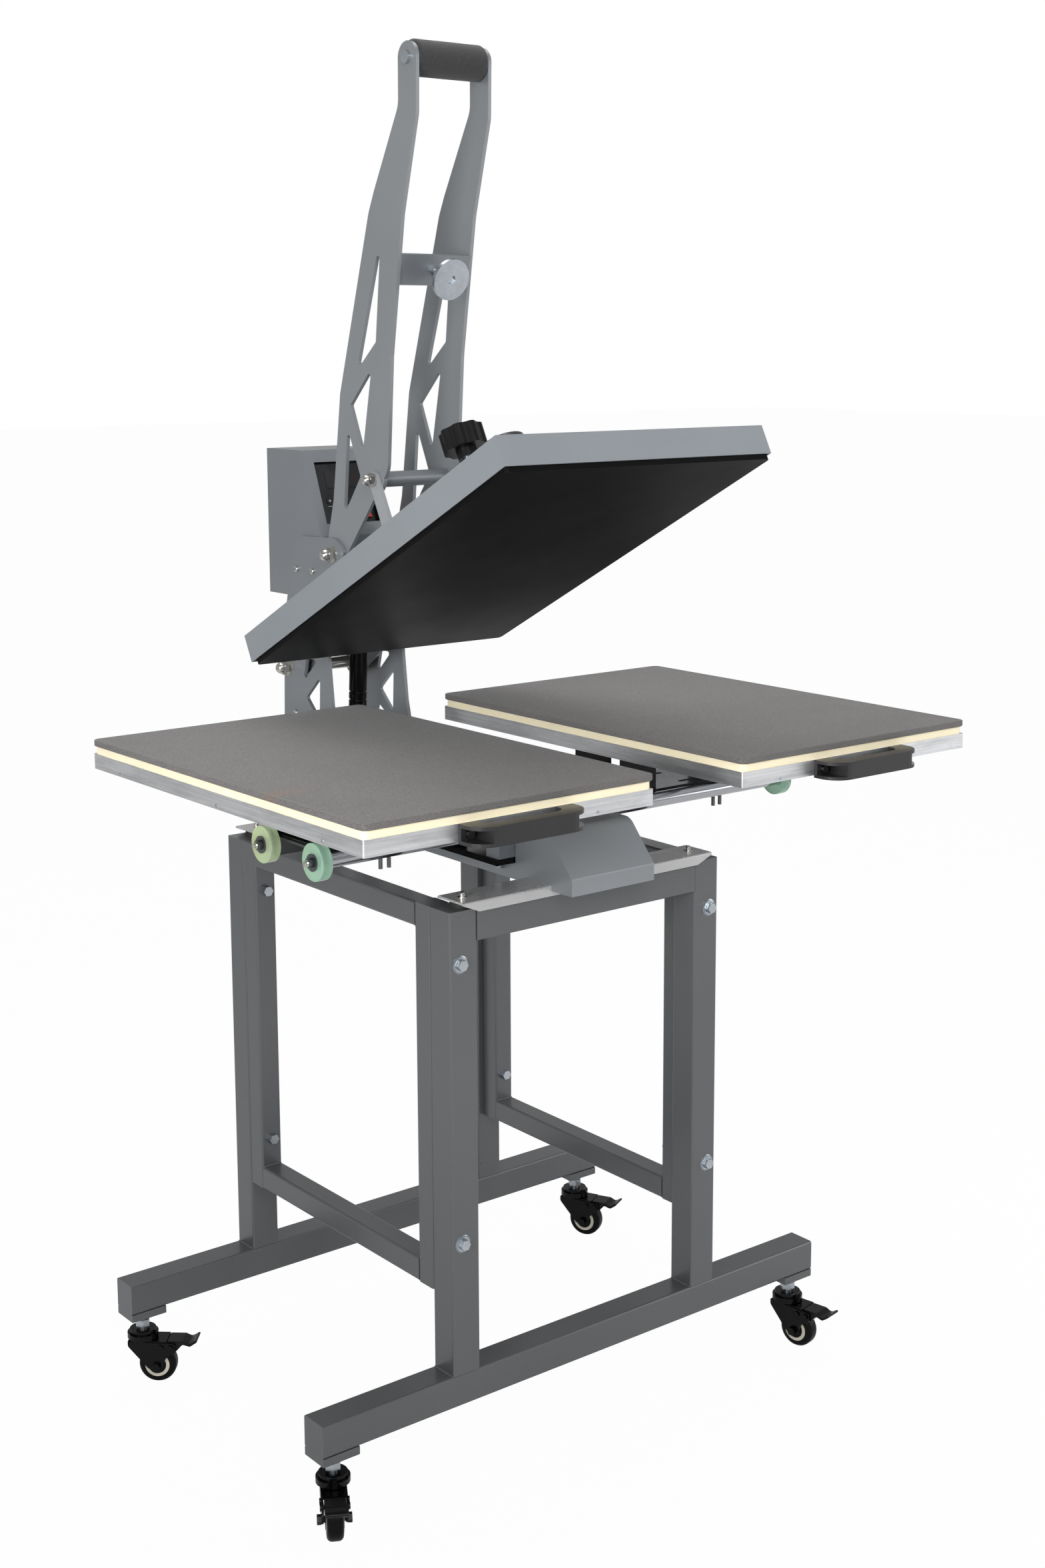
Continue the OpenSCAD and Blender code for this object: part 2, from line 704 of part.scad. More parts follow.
// Plate on the cover that carries the foot of the screw and two guide pins
bridge_w = 80;
bridge_l = 120;
bridge_t = 6;
guide_y = 40.5;
guide_d = 10;
foot_d = 34;
foot_h = 8;
foot_bore = 4;
module pressure_bridge() {
    color([0.62, 0.63, 0.64]) opened() translate([0, screw_y, cover_z + head_h]) {
        difference() {
            union() {
                translate([0, 0, bridge_t / 2]) cube([bridge_w, bridge_l, bridge_t], center = true);
                cylinder(bridge_t + foot_h, d = foot_d, $fn = 48);
            }
            translate([0, 0, bridge_t + foot_h - foot_bore])
                cylinder(foot_bore + cut, d = screw_d + 2 * run_gap, $fn = 48);
        }
        for (j = [-1, 1]) translate([0, j * guide_y, 0]) cylinder(yoke_top - head_h, d = guide_d, $fn = 32);
    }
}

// Slot for the floating pin of the links, along a mean line through the pin's places on the head
slot_play = 0.8;
slot_end_shares = [[0.2947, 0.7961], [0.3297, 0.7419]];
function on_head(s) = [cover_back - s[0] * head_l, cover_z + s[1] * yoke_top];
function float_slot() = let (r = float_pin_d / 2 + slot_play, a = on_head(slot_end_shares[0]),
    b = on_head(slot_end_shares[1]), t = atan2(b[1] - a[1], b[0] - a[0]))
    concat([for (k = [0:12]) a + r * [cos(t + 90 + k * 15), sin(t + 90 + k * 15)]],
           [for (k = [0:12]) b + r * [cos(t - 90 + k * 15), sin(t - 90 + k * 15)]]);

// Yoke side plate in shares of the cover's depth, from its rear face, and of the yoke's height
yoke_shares = [[-0.255, 0.12], [-0.2, 0.08], [-0.075, 0.17], [-0.042, 0.26], [-0.025, 0.445],
               [0.677, 0.454], [0.677, 0.84], [0.65, 0.935], [0.54, 1], [0.25, 1], [-0.1, 0.66],
               [-0.245, 0.46]];
yoke_r_shares = [0.02, 0.03, 0.02, 0.01, 0.015, 0.015, 0.02, 0.02, 0.1, 0.15, 0.15, 0.02];
yoke_boss_d = 40;
nut_plate_t = 8;
nut_plate_l = 100;
nut_drop = 6;
nut_boss_d = 36;
nut_boss_h = 30;
magnet_plate_l = 60;
magnet_plate_t = 5;
module yoke() {
    gas_pin = swing(gas_top, head_pivot, head_tilt);
    nut_z = cover_z + yoke_top - nut_drop - nut_plate_t;
    in = 2 * yoke_x - plate_t;
    color([0.45, 0.46, 0.48]) opened() {
        for (i = [-1, 1]) difference() {
            side_plate(i * yoke_x, plate_t) difference() {
                union() {
                    polygon(fillet([for (s = yoke_shares) on_head(s)], [for (s = yoke_r_shares) s * head_l]));
                    translate(head_pivot) circle(d = yoke_boss_d, $fn = 48);
                }
                polygon(float_slot());
            }
            cross_bar(head_pivot, head_rod_d + 2 * run_gap, plate_t + 2 * cut, i * yoke_x);
        }
        difference() {
            translate([0, screw_y, nut_z]) {
                translate([0, 0, nut_plate_t / 2]) cube([in, nut_plate_l, nut_plate_t], center = true);
                translate([0, 0, -nut_boss_h]) cylinder(nut_boss_h + nut_plate_t / 2, d = nut_boss_d, $fn = 48);
            }
            translate([0, screw_y, cover_z]) cylinder(yoke_top + cut, d = screw_d + 2 * run_gap, $fn = 48);
            for (j = [-1, 1]) translate([0, screw_y + j * guide_y, cover_z])
                cylinder(yoke_top + cut, d = guide_d + 2 * run_gap, $fn = 32);
        }
        translate([0, magnet_y, magnet_z - magnet_plate_t / 2])
            cube([in, magnet_plate_l, magnet_plate_t], center = true);
        cross_bar(gas_pin, gas_pin_d, in);
    }
}

// The armature on the lever meets the magnet on the yoke when the lever is down
armature_angle = 19;
armature_back = 10;
armature_down = 268;
armature_mid = grip + [-armature_back, -armature_down];
armature_t = 5;
armature_d = 53;
armature_low = swing(armature_mid, arm_pivot, lever_swing);
magnet_gap = 0.5;
magnet_y = armature_low[0];
magnet_z = armature_low[1] - magnet_gap - magnet_h;
magnet_groove = 1.5;
module holding_magnet() {
    color([0.5, 0.5, 0.5]) opened() translate([0, magnet_y, magnet_z]) difference() {
        cylinder(magnet_h, d = magnet_d, $fn = 64);
        translate([0, 0, magnet_h - magnet_groove]) difference() {
            cylinder(magnet_groove + cut, d = magnet_d * 0.82, $fn = 64);
            translate([0, 0, -cut]) cylinder(magnet_groove + 3 * cut, d = magnet_d * 0.5, $fn = 64);
        }
    }
}

// Lobed hand knob on its hub
lobe_count = 8;
hub_d = 27;
hub_h = 12;
knob_lift = 154;
knob_z = cover_z + knob_lift;
screw_in = knob_h * 0.6;
module pressure_knob() {
    color([0.05, 0.05, 0.05]) opened() translate([0, screw_y, knob_z]) difference() {
        union() {
            cylinder(knob_h, d = knob_d * 0.9, $fn = 64);
            for (k = [0:lobe_count - 1]) rotate([0, 0, k * 360 / lobe_count])
                translate([knob_d * 0.36, 0, 0]) cylinder(knob_h, d = knob_d * 0.28, $fn = 24);
            translate([0, 0, -hub_h]) cylinder(hub_h, d = hub_d, $fn = 48);
        }
        translate([0, 0, -hub_h - cut]) cylinder(hub_h + cut + screw_in, d = screw_d, $fn = 48);
    }
}

module pressure_screw() {
    low = cover_z + head_h + bridge_t + foot_h - foot_bore;
    color([0.7, 0.7, 0.7]) opened() translate([0, screw_y, low])
        cylinder(knob_z + screw_in - low, d = screw_d, $fn = 48);
}

// Arm outline and windows in shares of the reach and the rise from the arm pivot to the grip
arm_shares = [[0.893, 1], [0.89, 0.911], [0.575, 0.748], [0.508, 0.708], [0.105, 0.342], [-0.006, 0.118],
              [-0.12, 0.002], [0.02, -0.034], [0.182, 0.011], [0.702, 0.188], [0.762, 0.422], [0.917, 0.701],
              [1.099, 0.891], [1.107, 1]];
arm_r_shares = [0, 0.05, 0.05, 0.1, 0.03, 0.05, 0, 0, 0.05, 0.05, 0.05, 0.1, 0.06, 0];
arm_window_shares = [[[0.657, 0.668], [0.575, 0.449], [0.326, 0.39]],
                     [[0.514, 0.396], [0.238, 0.319], [0.387, 0.219]],
                     [[0.193, 0.273], [0.354, 0.171], [0.127, 0.085]]];
arm_window_r_share = 0.006;
arm_boss_r = 22;
grip_boss_r = 19.5;
toggle_boss_r = 17;
toggle_rod_d = 12;
grip_rod_d = 10;

module arm_plate(i) {
    difference() {
        union() {
            side_plate(i * arm_x, plate_t) difference() {
                polygon(fillet([for (s = arm_shares) between(arm_pivot, grip, s)],
                               [for (s = arm_r_shares) s * grip_up]));
                for (w = arm_window_shares) polygon(fillet([for (s = w) between(arm_pivot, grip, s)],
                                                           [for (s = w) arm_window_r_share * grip_up]));
            }
            cross_bar(arm_pivot, 2 * arm_boss_r, plate_t, i * arm_x);
            cross_bar(grip, 2 * grip_boss_r, plate_t, i * arm_x);
            cross_bar(toggle, 2 * toggle_boss_r, plate_t, i * arm_x);
        }
        cross_bar(arm_pivot, arm_rod_d + 2 * run_gap, plate_t + 2 * cut, i * arm_x);
        cross_bar(toggle, toggle_rod_d, plate_t + 2 * cut, i * arm_x);
        cross_bar(grip, grip_rod_d, plate_t + 2 * cut, i * arm_x);
    }
}

module arm_left() {
    color([0.5, 0.52, 0.54]) arm_plate(-1);
}

module arm_right() {
    color([0.5, 0.52, 0.54]) arm_plate(1);
}

// Puts children at the armature's face, Z along its axis towards the magnet
module at_armature() {
    translate([0, armature_mid[0], armature_mid[1]]) rotate([armature_angle + 90, 0, 0]) children();
}

// Plate between the arms that carries the armature's stud
cross_l = 40;
cross_t = 5;
stud_l = 42;
module cross_plate() {
    color([0.5, 0.52, 0.54]) at_armature() translate([0, 0, -stud_l]) difference() {
        cube([2 * arm_x - plate_t, cross_l, cross_t], center = true);
        cylinder(2 * cross_t, d = bolt_d, center = true, $fn = 24);
    }
}

// Steel disc that the magnet holds, with its stud, collar and two nuts
socket_d = 12;
collar_d = 20;
module armature_disc() {
    color([0.72, 0.72, 0.7]) at_armature() {
        difference() {
            translate([0, 0, -armature_t]) cylinder(armature_t, d = armature_d, $fn = 64);
            translate([0, 0, -armature_t / 2]) cylinder(armature_t, d = socket_d, $fn = 6);
        }
        translate([0, 0, -stud_l - 2 * bolt_d])
            cylinder(stud_l + 2 * bolt_d - armature_t, d = bolt_d, $fn = 24);
        translate([0, 0, -armature_t - bolt_d]) cylinder(bolt_d, d = collar_d, $fn = 32);
        translate([0, 0, -stud_l + cross_t / 2]) hex(bolt_head_d, bolt_head_h);
        translate([0, 0, -stud_l - cross_t / 2 - bolt_head_h]) hex(bolt_head_d, bolt_head_h);
    }
}

// Tube between the arms, its rod through arms and links, and the domed nuts
toggle_nut_d = 18;
module toggle_shaft() {
    out = link_x + plate_t / 2 + side_gap;
    color([0.5, 0.5, 0.5]) {
        cross_bar(toggle, toggle_d, 2 * arm_x - plate_t);
        cross_bar(toggle, toggle_rod_d, 2 * out);
        for (i = [-1, 1]) translate([i * out, toggle[0], toggle[1]]) rotate([0, i * 90, 0]) {
            cylinder(washer_t, d = toggle_nut_d, $fn = 32);
            translate([0, 0, washer_t]) acorn_nut(toggle_nut_d);
        }
    }
}

grip_tube_d = 25;
grip_head_d = 16;
grip_head_h = 4;
module grip_tube() {
    color([0.6, 0.6, 0.6]) {
        cross_bar(grip, grip_tube_d, 2 * arm_x - plate_t);
        for (i = [-1, 1]) {
            cross_bar(grip, grip_rod_d, plate_t, i * arm_x);
            cross_bar(grip, grip_head_d, grip_head_h, i * (arm_x + (plate_t + grip_head_h) / 2), 32);
        }
    }
}

module foam_grip() {
    w = 2 * arm_x - plate_t;
    color([0.06, 0.06, 0.06]) difference() {
        cross_bar(grip, grip_d, w - 2 * side_gap, 0, 64);
        cross_bar(grip, grip_tube_d, w + 2 * cut);
    }
}

// Flat links outside the arms, as drawn from the toggle shaft to the floating pin
module links() {
    color([0.62, 0.62, 0.63]) for (i = [-1, 1]) difference() {
        side_plate(i * link_x, plate_t) {
            translate((toggle + float_pin_at) / 2) rotate(link_angle) square([link_l, link_w], center = true);
            translate(toggle) circle(d = link_w, $fn = 48);
            translate(float_pin_at) circle(d = link_w, $fn = 48);
        }
        cross_bar(toggle, toggle_rod_d + 2 * run_gap, plate_t + 2 * cut, i * link_x);
        cross_bar(float_pin_at, float_pin_d, plate_t + 2 * cut, i * link_x);
    }
}

// Pin between the lower ends of the links: it runs in the slots of the yoke
pin_head_h = 3;
module float_pin() {
    out = link_x + plate_t / 2;
    color([0.75, 0.75, 0.72]) {
        cross_bar(float_pin_at, float_pin_d, 2 * out);
        for (i = [-1, 1]) cross_bar(float_pin_at, float_pin_d * 1.5, pin_head_h, i * (out + pin_head_h / 2));
    }
}

// Places children along the gas spring: z = 0 at its top eye, z down to its foot eye
gas_angle = atan2(gas_foot[1] - gas_top[1], gas_foot[0] - gas_top[0]);
gas_len = norm(gas_foot - gas_top);
gas_slack = 1.3;
gas_eye_d = 20;
gas_eye_w = 10;
gas_cap = 16;
gas_groove_at = 23;
gas_groove_r = 1.5;
gas_reach = 65;
module along_gas() {
    translate([0, gas_top[0], gas_top[1]]) rotate([gas_angle + 90, 0, 0]) children();
}

module eye(hole) {
    rotate([0, 90, 0]) difference() {
        cylinder(gas_eye_w, d = gas_eye_d, center = true, $fn = 40);
        cylinder(gas_eye_w + 2 * cut, d = hole, center = true, $fn = 40);
    }
}

module gas_cylinder() {
    end = gas_cap + gas_tube_l;
    color([0.06, 0.06, 0.06]) along_gas() difference() {
        union() {
            eye(gas_pin_d + 2 * run_gap);
            translate([0, 0, -end]) rotate_extrude($fn = 48) difference() {
                square([gas_d / 2, gas_tube_l]);
                for (k = [1, 1.48]) translate([gas_d / 2, k * gas_groove_at]) circle(gas_groove_r, $fn = 16);
            }
            translate([0, 0, -gas_cap - cut]) cylinder(gas_cap / 2 + cut, d = gas_eye_w, $fn = 32);
        }
        translate([0, 0, -end - cut]) cylinder(gas_tube_l * 0.9, d = gas_rod_d + 2 * run_gap, $fn = 32);
    }
}

module gas_rod() {
    neck = gas_eye_d * 0.4;
    color([0.8, 0.8, 0.8]) along_gas() translate([0, 0, -gas_len]) {
        eye(gas_pin_d + 2 * gas_slack);
        translate([0, 0, neck]) cylinder(gas_eye_d / 2, d = gas_eye_d * 0.7, $fn = 32);
        translate([0, 0, neck]) cylinder(gas_len - gas_cap - gas_reach, d = gas_rod_d, $fn = 32);
    }
}

// Everything below rides on the carriage
module carriage() {
    translate([slide_place, 0, 0]) children();
}

// Folded channel between the two rods, with adjusting slots in its web
web_slot_x = 224.5;
web_slot_y = 28;
web_slot_l = 20;
web_slot_w = 8;
module slide_channel() {
    color([0.2, 0.2, 0.21]) carriage() difference() {
        translate([-rod_half, slide_mid_y - slide_w / 2, slide_top - slide_flange])
            cube([2 * rod_half, slide_w, slide_flange]);
        translate([-rod_half - cut, slide_mid_y - slide_w / 2 + slide_t, slide_top - slide_flange - cut])
            cube([2 * rod_half + 2 * cut, slide_w - 2 * slide_t, slide_flange - slide_t + cut]);
        for (i = [-1, 1], j = [-1, 1])
            translate([i * web_slot_x, slide_mid_y + j * web_slot_y, slide_top - slide_t - cut])
            linear_extrude(slide_t + 2 * cut) {
                square([web_slot_l - web_slot_w, web_slot_w], center = true);
                for (k = [-1, 1]) translate([k * (web_slot_l - web_slot_w) / 2, 0])
                    circle(d = web_slot_w, $fn = 24);
            }
    }
}

module slide_rods() {
    color([0.25, 0.25, 0.26]) carriage() for (y = rod_ys) cross_bar([y, rod_z], rod_d, 2 * rod_half);
}

module stop_discs() {
    color([0.25, 0.5, 0.4]) carriage() for (i = [-1, 1], y = rod_ys)
        cross_bar([y, rod_z], disc_d, disc_t, i * (rod_half + disc_t / 2), 56);
}

// Box brackets between the slide channel and the trays
bracket_w = 60;
bracket_in = 140;
bracket_out = 61.5;
module tray_brackets() {
    inner = [bracket_w + 2 * cut, slide_w - 2 * slide_t, bracket_h - 2 * slide_t];
    color([0.3, 0.31, 0.32]) carriage() for (i = [-1, 1], x = [-bracket_in, bracket_out])
        translate([i * (platen_pitch / 2 + x), slide_mid_y, slide_top + bracket_h / 2]) difference() {
            cube([bracket_w, slide_w, bracket_h], center = true);
            cube(inner, center = true);
        }
}

module over_platens() {
    carriage() for (i = [-1, 1]) translate([i * platen_pitch / 2, platen_y, 0]) children();
}

// Aluminium pans, open below, with a broad cross of ribs
rib_x = 60;
rib_y = 120;
tray_r = 2.5;
module trays() {
    w = platen_w - 2 * tray_inset;
    l = platen_l - 2 * tray_inset;
    pocket = [(w - 2 * tray_wall - rib_x) / 2, (l - 2 * tray_wall - rib_y) / 2, tray_h - tray_wall];
    color([0.8, 0.81, 0.82]) over_platens() translate([0, 0, tray_z]) difference() {
        linear_extrude(tray_h) rounded_square(w, l, tray_r);
        for (i = [-1, 1], j = [-1, 1])
            translate([i * (rib_x + pocket[0]) / 2, j * (rib_y + pocket[1]) / 2, pocket[2] / 2 - cut])
            cube([pocket[0], pocket[1], pocket[2] + 2 * cut], center = true);
    }
}

cream_r = 7;
module silicone_layers() {
    color([0.85, 0.78, 0.6]) over_platens() translate([0, 0, tray_z + tray_h])
        linear_extrude(cream_t) rounded_square(platen_w - 2 * cream_inset, platen_l - 2 * cream_inset, cream_r);
}

module pads() {
    color([0.3, 0.3, 0.31]) over_platens() translate([0, 0, pad_top - pad_t])
        linear_extrude(pad_t) rounded_square(platen_w, platen_l, pad_r);
}

// Bridge handles, open at both ends so that the screws can be reached
handle_l = 156;
handle_out = 37;
handle_h = 22;
handle_bar = 17;
handle_pocket = 20;
handle_wall = 5;
handle_web = 4;
handle_z = tray_z + tray_h - handle_h;
module tray_handles() {
    l = handle_l / 2;
    in = l - handle_pocket - handle_web;
    reach = handle_out - handle_bar;
    plan = [[-l, 0], [-l, -handle_out], [l, -handle_out], [l, 0],
            [in, 0], [in, -reach], [-in, -reach], [-in, 0]];
    big = handle_out * 0.7;
    small = reach * 0.7;
    color([0.06, 0.06, 0.06]) carriage() for (i = [-1, 1])
        translate([i * platen_pitch / 2, platen_front + tray_inset, handle_z]) difference() {
            linear_extrude(handle_h) polygon(fillet(plan, [0, big, big, 0, 0, small, small, 0], 8));
            for (j = [-1, 1]) translate([j * l, -handle_wall - handle_out / 2, handle_h / 2])
                cube([2 * handle_pocket, handle_out, handle_h - 2 * handle_web], center = true);
        }
}

// Washers and screws of the stop discs, catch pins under the channel, and the handle screws
disc_washer_d = 21;
disc_washer_t = 2;
disc_screw_d = 12;
disc_screw_h = 5;
catch_d = 5;
catch_h = 13;
catch_pitch = 12;
module carriage_screws() {
    color([0.3, 0.3, 0.3]) carriage() {
        for (i = [-1, 1], y = rod_ys) {
            cross_bar([y, rod_z], disc_washer_d, disc_washer_t, i * (rod_half + disc_t + disc_washer_t / 2));
            cross_bar([y, rod_z], disc_screw_d, disc_screw_h,
                      i * (rod_half + disc_t + disc_washer_t + disc_screw_h / 2), 24);
        }
        for (i = [-1, 1], k = [-1, 1])
            translate([i * slide_travel + k * catch_pitch / 2, slide_mid_y - (slide_w - slide_t) / 2,
                       slide_top - slide_flange - catch_h]) cylinder(catch_h, d = catch_d, $fn = 24);
        for (i = [-1, 1], j = [-1, 1])
            translate([i * platen_pitch / 2 + j * (handle_l - handle_pocket) / 2,
                       platen_front + tray_inset - handle_wall, handle_z + handle_h / 2]) rotate([90, 0, 0])
            cylinder(disc_screw_h, d = disc_screw_d * 0.8, $fn = 24);
    }
}

// Casters. Each is drawn with its swivel axis at the origin, trailing along +X.
caster_places = [[-caster_x, -leg_y], [caster_x, -leg_y], [-caster_x, leg_y], [caster_x, leg_y]];

module at_caster(k) {
    translate([caster_places[k][0], caster_places[k][1], 0]) rotate([0, 0, caster_angles[k]]) children();
}

// A caster outline (x, z) given a thickness t about the plane y
module caster_plate(y, t) {
    translate([0, y + t / 2, 0]) rotate([90, 0, 0]) linear_extrude(t) children();
}

// A pin across the caster, in the plane (x, z)
module caster_pin(p, d, l, fn = 24) {
    translate([p[0], 0, p[1]]) rotate([90, 0, 0]) cylinder(l, d = d, center = true, $fn = fn);
}

wheel_gap = 2;
cheek_t = 2.5;
cheek_y = wheel_w / 2 + wheel_gap + cheek_t / 2;
cheek_out = 2 * cheek_y + cheek_t;
axle_at = [caster_trail, wheel_d / 2];
race_step = 3;
axle_nut_d = 12;
axle_nut_h = 5;
brake_pin_d = 5;
rivet_d = 8;
rivet_h = 2;
brake_pin_share = [0.79, 1.02];
rivet_share = [0.52, 1.02];
brake_pin_at = brake_pin_share * wheel_d;
cheek_shares = [[-0.35, 1.2], [-0.35, 1.06], [0.2, 0.42], [0.6, 0.42], [0.62, 0.74], [0.92, 0.88],
                [0.92, 1.14]];
cheek_r_shares = [0, 0.12, 0.15, 0.18, 0.24, 0.1, 0.06];
cover_l = 34;

module fork(k) {
    back = race_d / 2 - race_step;
    color([0.05, 0.05, 0.05]) at_caster(k) {
        difference() {
            union() {
                for (s = [-1, 1]) caster_plate(s * cheek_y, cheek_t)
                    polygon(fillet(cheek_shares * wheel_d, cheek_r_shares * wheel_d));
                translate([(cover_l - back) / 2, 0, fork_top - cheek_t / 2])
                    cube([cover_l + back, 2 * cheek_y, cheek_t], center = true);
                translate([0, 0, fork_top]) rotate_extrude($fn = 56) {
                    square([back, race_h]);
                    translate([0, race_step / 2]) square([race_d / 2, race_h - 2 * race_step]);
                }
            }
            caster_pin(axle_at, axle_d, 4 * cheek_y, 32);
            caster_pin(brake_pin_at, brake_pin_d, 4 * cheek_y);
        }
        caster_pin(axle_at, axle_d, cheek_out, 32);
        caster_pin(brake_pin_at, brake_pin_d, cheek_out);
        for (s = [-1, 1]) translate([0, s * cheek_out / 2, 0]) {
            translate([0, s * axle_nut_h / 2, 0]) caster_pin(axle_at, axle_nut_d, axle_nut_h, 6);
            for (p = [rivet_share * wheel_d, brake_pin_at])
                translate([0, s * rivet_h / 2, 0]) caster_pin(p, rivet_d, rivet_h);
        }
    }
}

// Wheel with a rounded tyre and a shallow ring groove on each side
tyre_r = 6;
tyre_in = 1;
wheel_bore = axle_d / 2 + run_gap;
groove_r = 11.8;
groove_w = 1.2;
module wheel(k) {
    half = wheel_w / 2 - tyre_in;
    color([0.1, 0.1, 0.1]) at_caster(k) translate([axle_at[0], 0, axle_at[1]]) rotate([90, 0, 0])
        rotate_extrude($fn = 64) difference() {
            union() {
                translate([wheel_bore, -wheel_w / 2]) square([groove_r - wheel_bore, wheel_w]);
                polygon(fillet([[groove_r * 0.8, -half], [wheel_d / 2, -half], [wheel_d / 2, half],
                                [groove_r * 0.8, half]], [0, tyre_r, tyre_r, 0]));
            }
            for (s = [-1, 1]) translate([groove_r, s * wheel_w / 2 - tyre_in]) square([groove_w, 2 * tyre_in]);
        }
}

// Brake pedal on its pin between the cheeks, with a shoe above the tread
pedal_shares = [[0.7, 1.13], [0.7, 1.2], [1.12, 1.2], [1.28, 1.12], [1.48, 1.24], [1.5, 1.18], [1.3, 1.04],
                [1.1, 1.1], [0.92, 0.9], [0.82, 0.9], [0.82, 1.1]];
pedal_r_shares = [0, 0.02, 0.08, 0.12, 0.02, 0.04, 0.08, 0.06, 0.02, 0.02, 0.02];
pedal_boss_d = 10;
tread_gap = 2.5;
module brake(k) {
    w = 2 * cheek_y - cheek_t - 2 * side_gap;
    color([0.08, 0.08, 0.08]) at_caster(k) difference() {
        union() {
            caster_plate(0, w) polygon(fillet(pedal_shares * wheel_d, pedal_r_shares * wheel_d, 3));
            caster_pin(brake_pin_at, pedal_boss_d, w, 32);
        }
        caster_pin(brake_pin_at, brake_pin_d + 2 * run_gap, 4 * cheek_y);
        caster_pin(axle_at, wheel_d + 2 * tread_gap, 4 * cheek_y, 64);
    }
}

module fork_front_left() { fork(0); }
module fork_front_right() { fork(1); }
module fork_rear_left() { fork(2); }
module fork_rear_right() { fork(3); }
module wheel_front_left() { wheel(0); }
module wheel_front_right() { wheel(1); }
module wheel_rear_left() { wheel(2); }
module wheel_rear_right() { wheel(3); }
module brake_front_left() { brake(0); }
module brake_front_right() { brake(1); }
module brake_rear_left() { brake(2); }
module brake_rear_right() { brake(3); }

front_frame();
rear_frame();
side_frames();
frame_bolts();
rubber_mounts();
cross_channels();
base_box();
base_screws();
bearing_plate();
bearing_blocks();
tower_left();
tower_right();
tower_shafts();
pivot_discs();
control_box();
control_panel();
rocker_switch();
caster_stems();
heater_cable();
head_cover();
heat_platen();
pressure_bridge();
yoke();
holding_magnet();
pressure_knob();
pressure_screw();
arm_left();
arm_right();
cross_plate();
armature_disc();
toggle_shaft();
grip_tube();
foam_grip();
links();
float_pin();
gas_cylinder();
gas_rod();
slide_channel();
slide_rods();
stop_discs();
carriage_screws();
tray_brackets();
trays();
silicone_layers();
pads();
tray_handles();
fork_front_left();
fork_front_right();
fork_rear_left();
fork_rear_right();
wheel_front_left();
wheel_front_right();
wheel_rear_left();
wheel_rear_right();
brake_front_left();
brake_front_right();
brake_rear_left();
brake_rear_right();
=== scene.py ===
import math
import bpy
import bmesh
from mathutils import Matrix, Vector


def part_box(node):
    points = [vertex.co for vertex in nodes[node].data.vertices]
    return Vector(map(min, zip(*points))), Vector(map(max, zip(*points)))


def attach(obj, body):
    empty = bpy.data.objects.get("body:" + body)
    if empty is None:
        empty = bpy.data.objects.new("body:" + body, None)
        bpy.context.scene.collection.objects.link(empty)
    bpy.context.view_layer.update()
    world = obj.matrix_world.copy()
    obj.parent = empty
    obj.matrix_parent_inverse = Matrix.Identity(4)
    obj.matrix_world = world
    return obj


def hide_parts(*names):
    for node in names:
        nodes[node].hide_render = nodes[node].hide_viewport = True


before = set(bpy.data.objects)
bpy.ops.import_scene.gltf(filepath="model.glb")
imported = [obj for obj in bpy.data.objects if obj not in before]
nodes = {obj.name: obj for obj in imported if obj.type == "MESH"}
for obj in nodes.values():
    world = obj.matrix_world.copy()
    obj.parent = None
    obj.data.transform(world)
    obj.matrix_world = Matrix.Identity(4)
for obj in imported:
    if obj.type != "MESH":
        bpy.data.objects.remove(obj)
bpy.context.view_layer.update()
scene = bpy.context.scene
scene.view_settings.view_transform = "Standard"
MM = 0.001

# Camera, fitted to the photograph: angles in degrees, place in mm, the rest in its pixels
CAM_YAW, CAM_PITCH, CAM_ROLL = 38.638, -9.381, -0.164
CAM_AT = (-1588.1, -2137.6, 1368.2)
CAM_FOCAL = 3129.8
CAM_CENTRE = (808.18, 1030.51)
PHOTO_W, PHOTO_H = 1568, 2352
SENSOR = 36


def make_camera():
    data = bpy.data.cameras.new("camera")
    cam = bpy.data.objects.new("camera", data)
    scene.collection.objects.link(cam)
    yaw, pitch, roll = (math.radians(a) for a in (CAM_YAW, CAM_PITCH, CAM_ROLL))
    look = Vector((math.sin(yaw) * math.cos(pitch), math.cos(yaw) * math.cos(pitch), math.sin(pitch)))
    turn = look.to_track_quat("-Z", "Y").to_matrix().to_4x4() @ Matrix.Rotation(roll, 4, "Z")
    cam.matrix_world = Matrix.Translation(Vector(CAM_AT) * MM) @ turn
    data.sensor_width = SENSOR
    data.lens = CAM_FOCAL * SENSOR / PHOTO_H
    data.shift_x = -(CAM_CENTRE[0] - PHOTO_W / 2) / PHOTO_H
    data.shift_y = (CAM_CENTRE[1] - PHOTO_H / 2) / PHOTO_H
    data.clip_start = 0.1
    data.clip_end = 60
    scene.camera = cam


make_camera()


# Light, floor and backdrop
def area_light(name, place, target, size, power, spread=180):
    data = bpy.data.lights.new(name, "AREA")
    data.shape = "RECTANGLE"
    data.size, data.size_y = size
    data.energy = power
    data.spread = math.radians(spread)
    obj = bpy.data.objects.new(name, data)
    obj.location = place
    obj.rotation_euler = (Vector(target) - Vector(place)).to_track_quat("-Z", "Y").to_euler()
    scene.collection.objects.link(obj)


FLOOR_HALF = 30
FLOOR_WHITE = 0.97


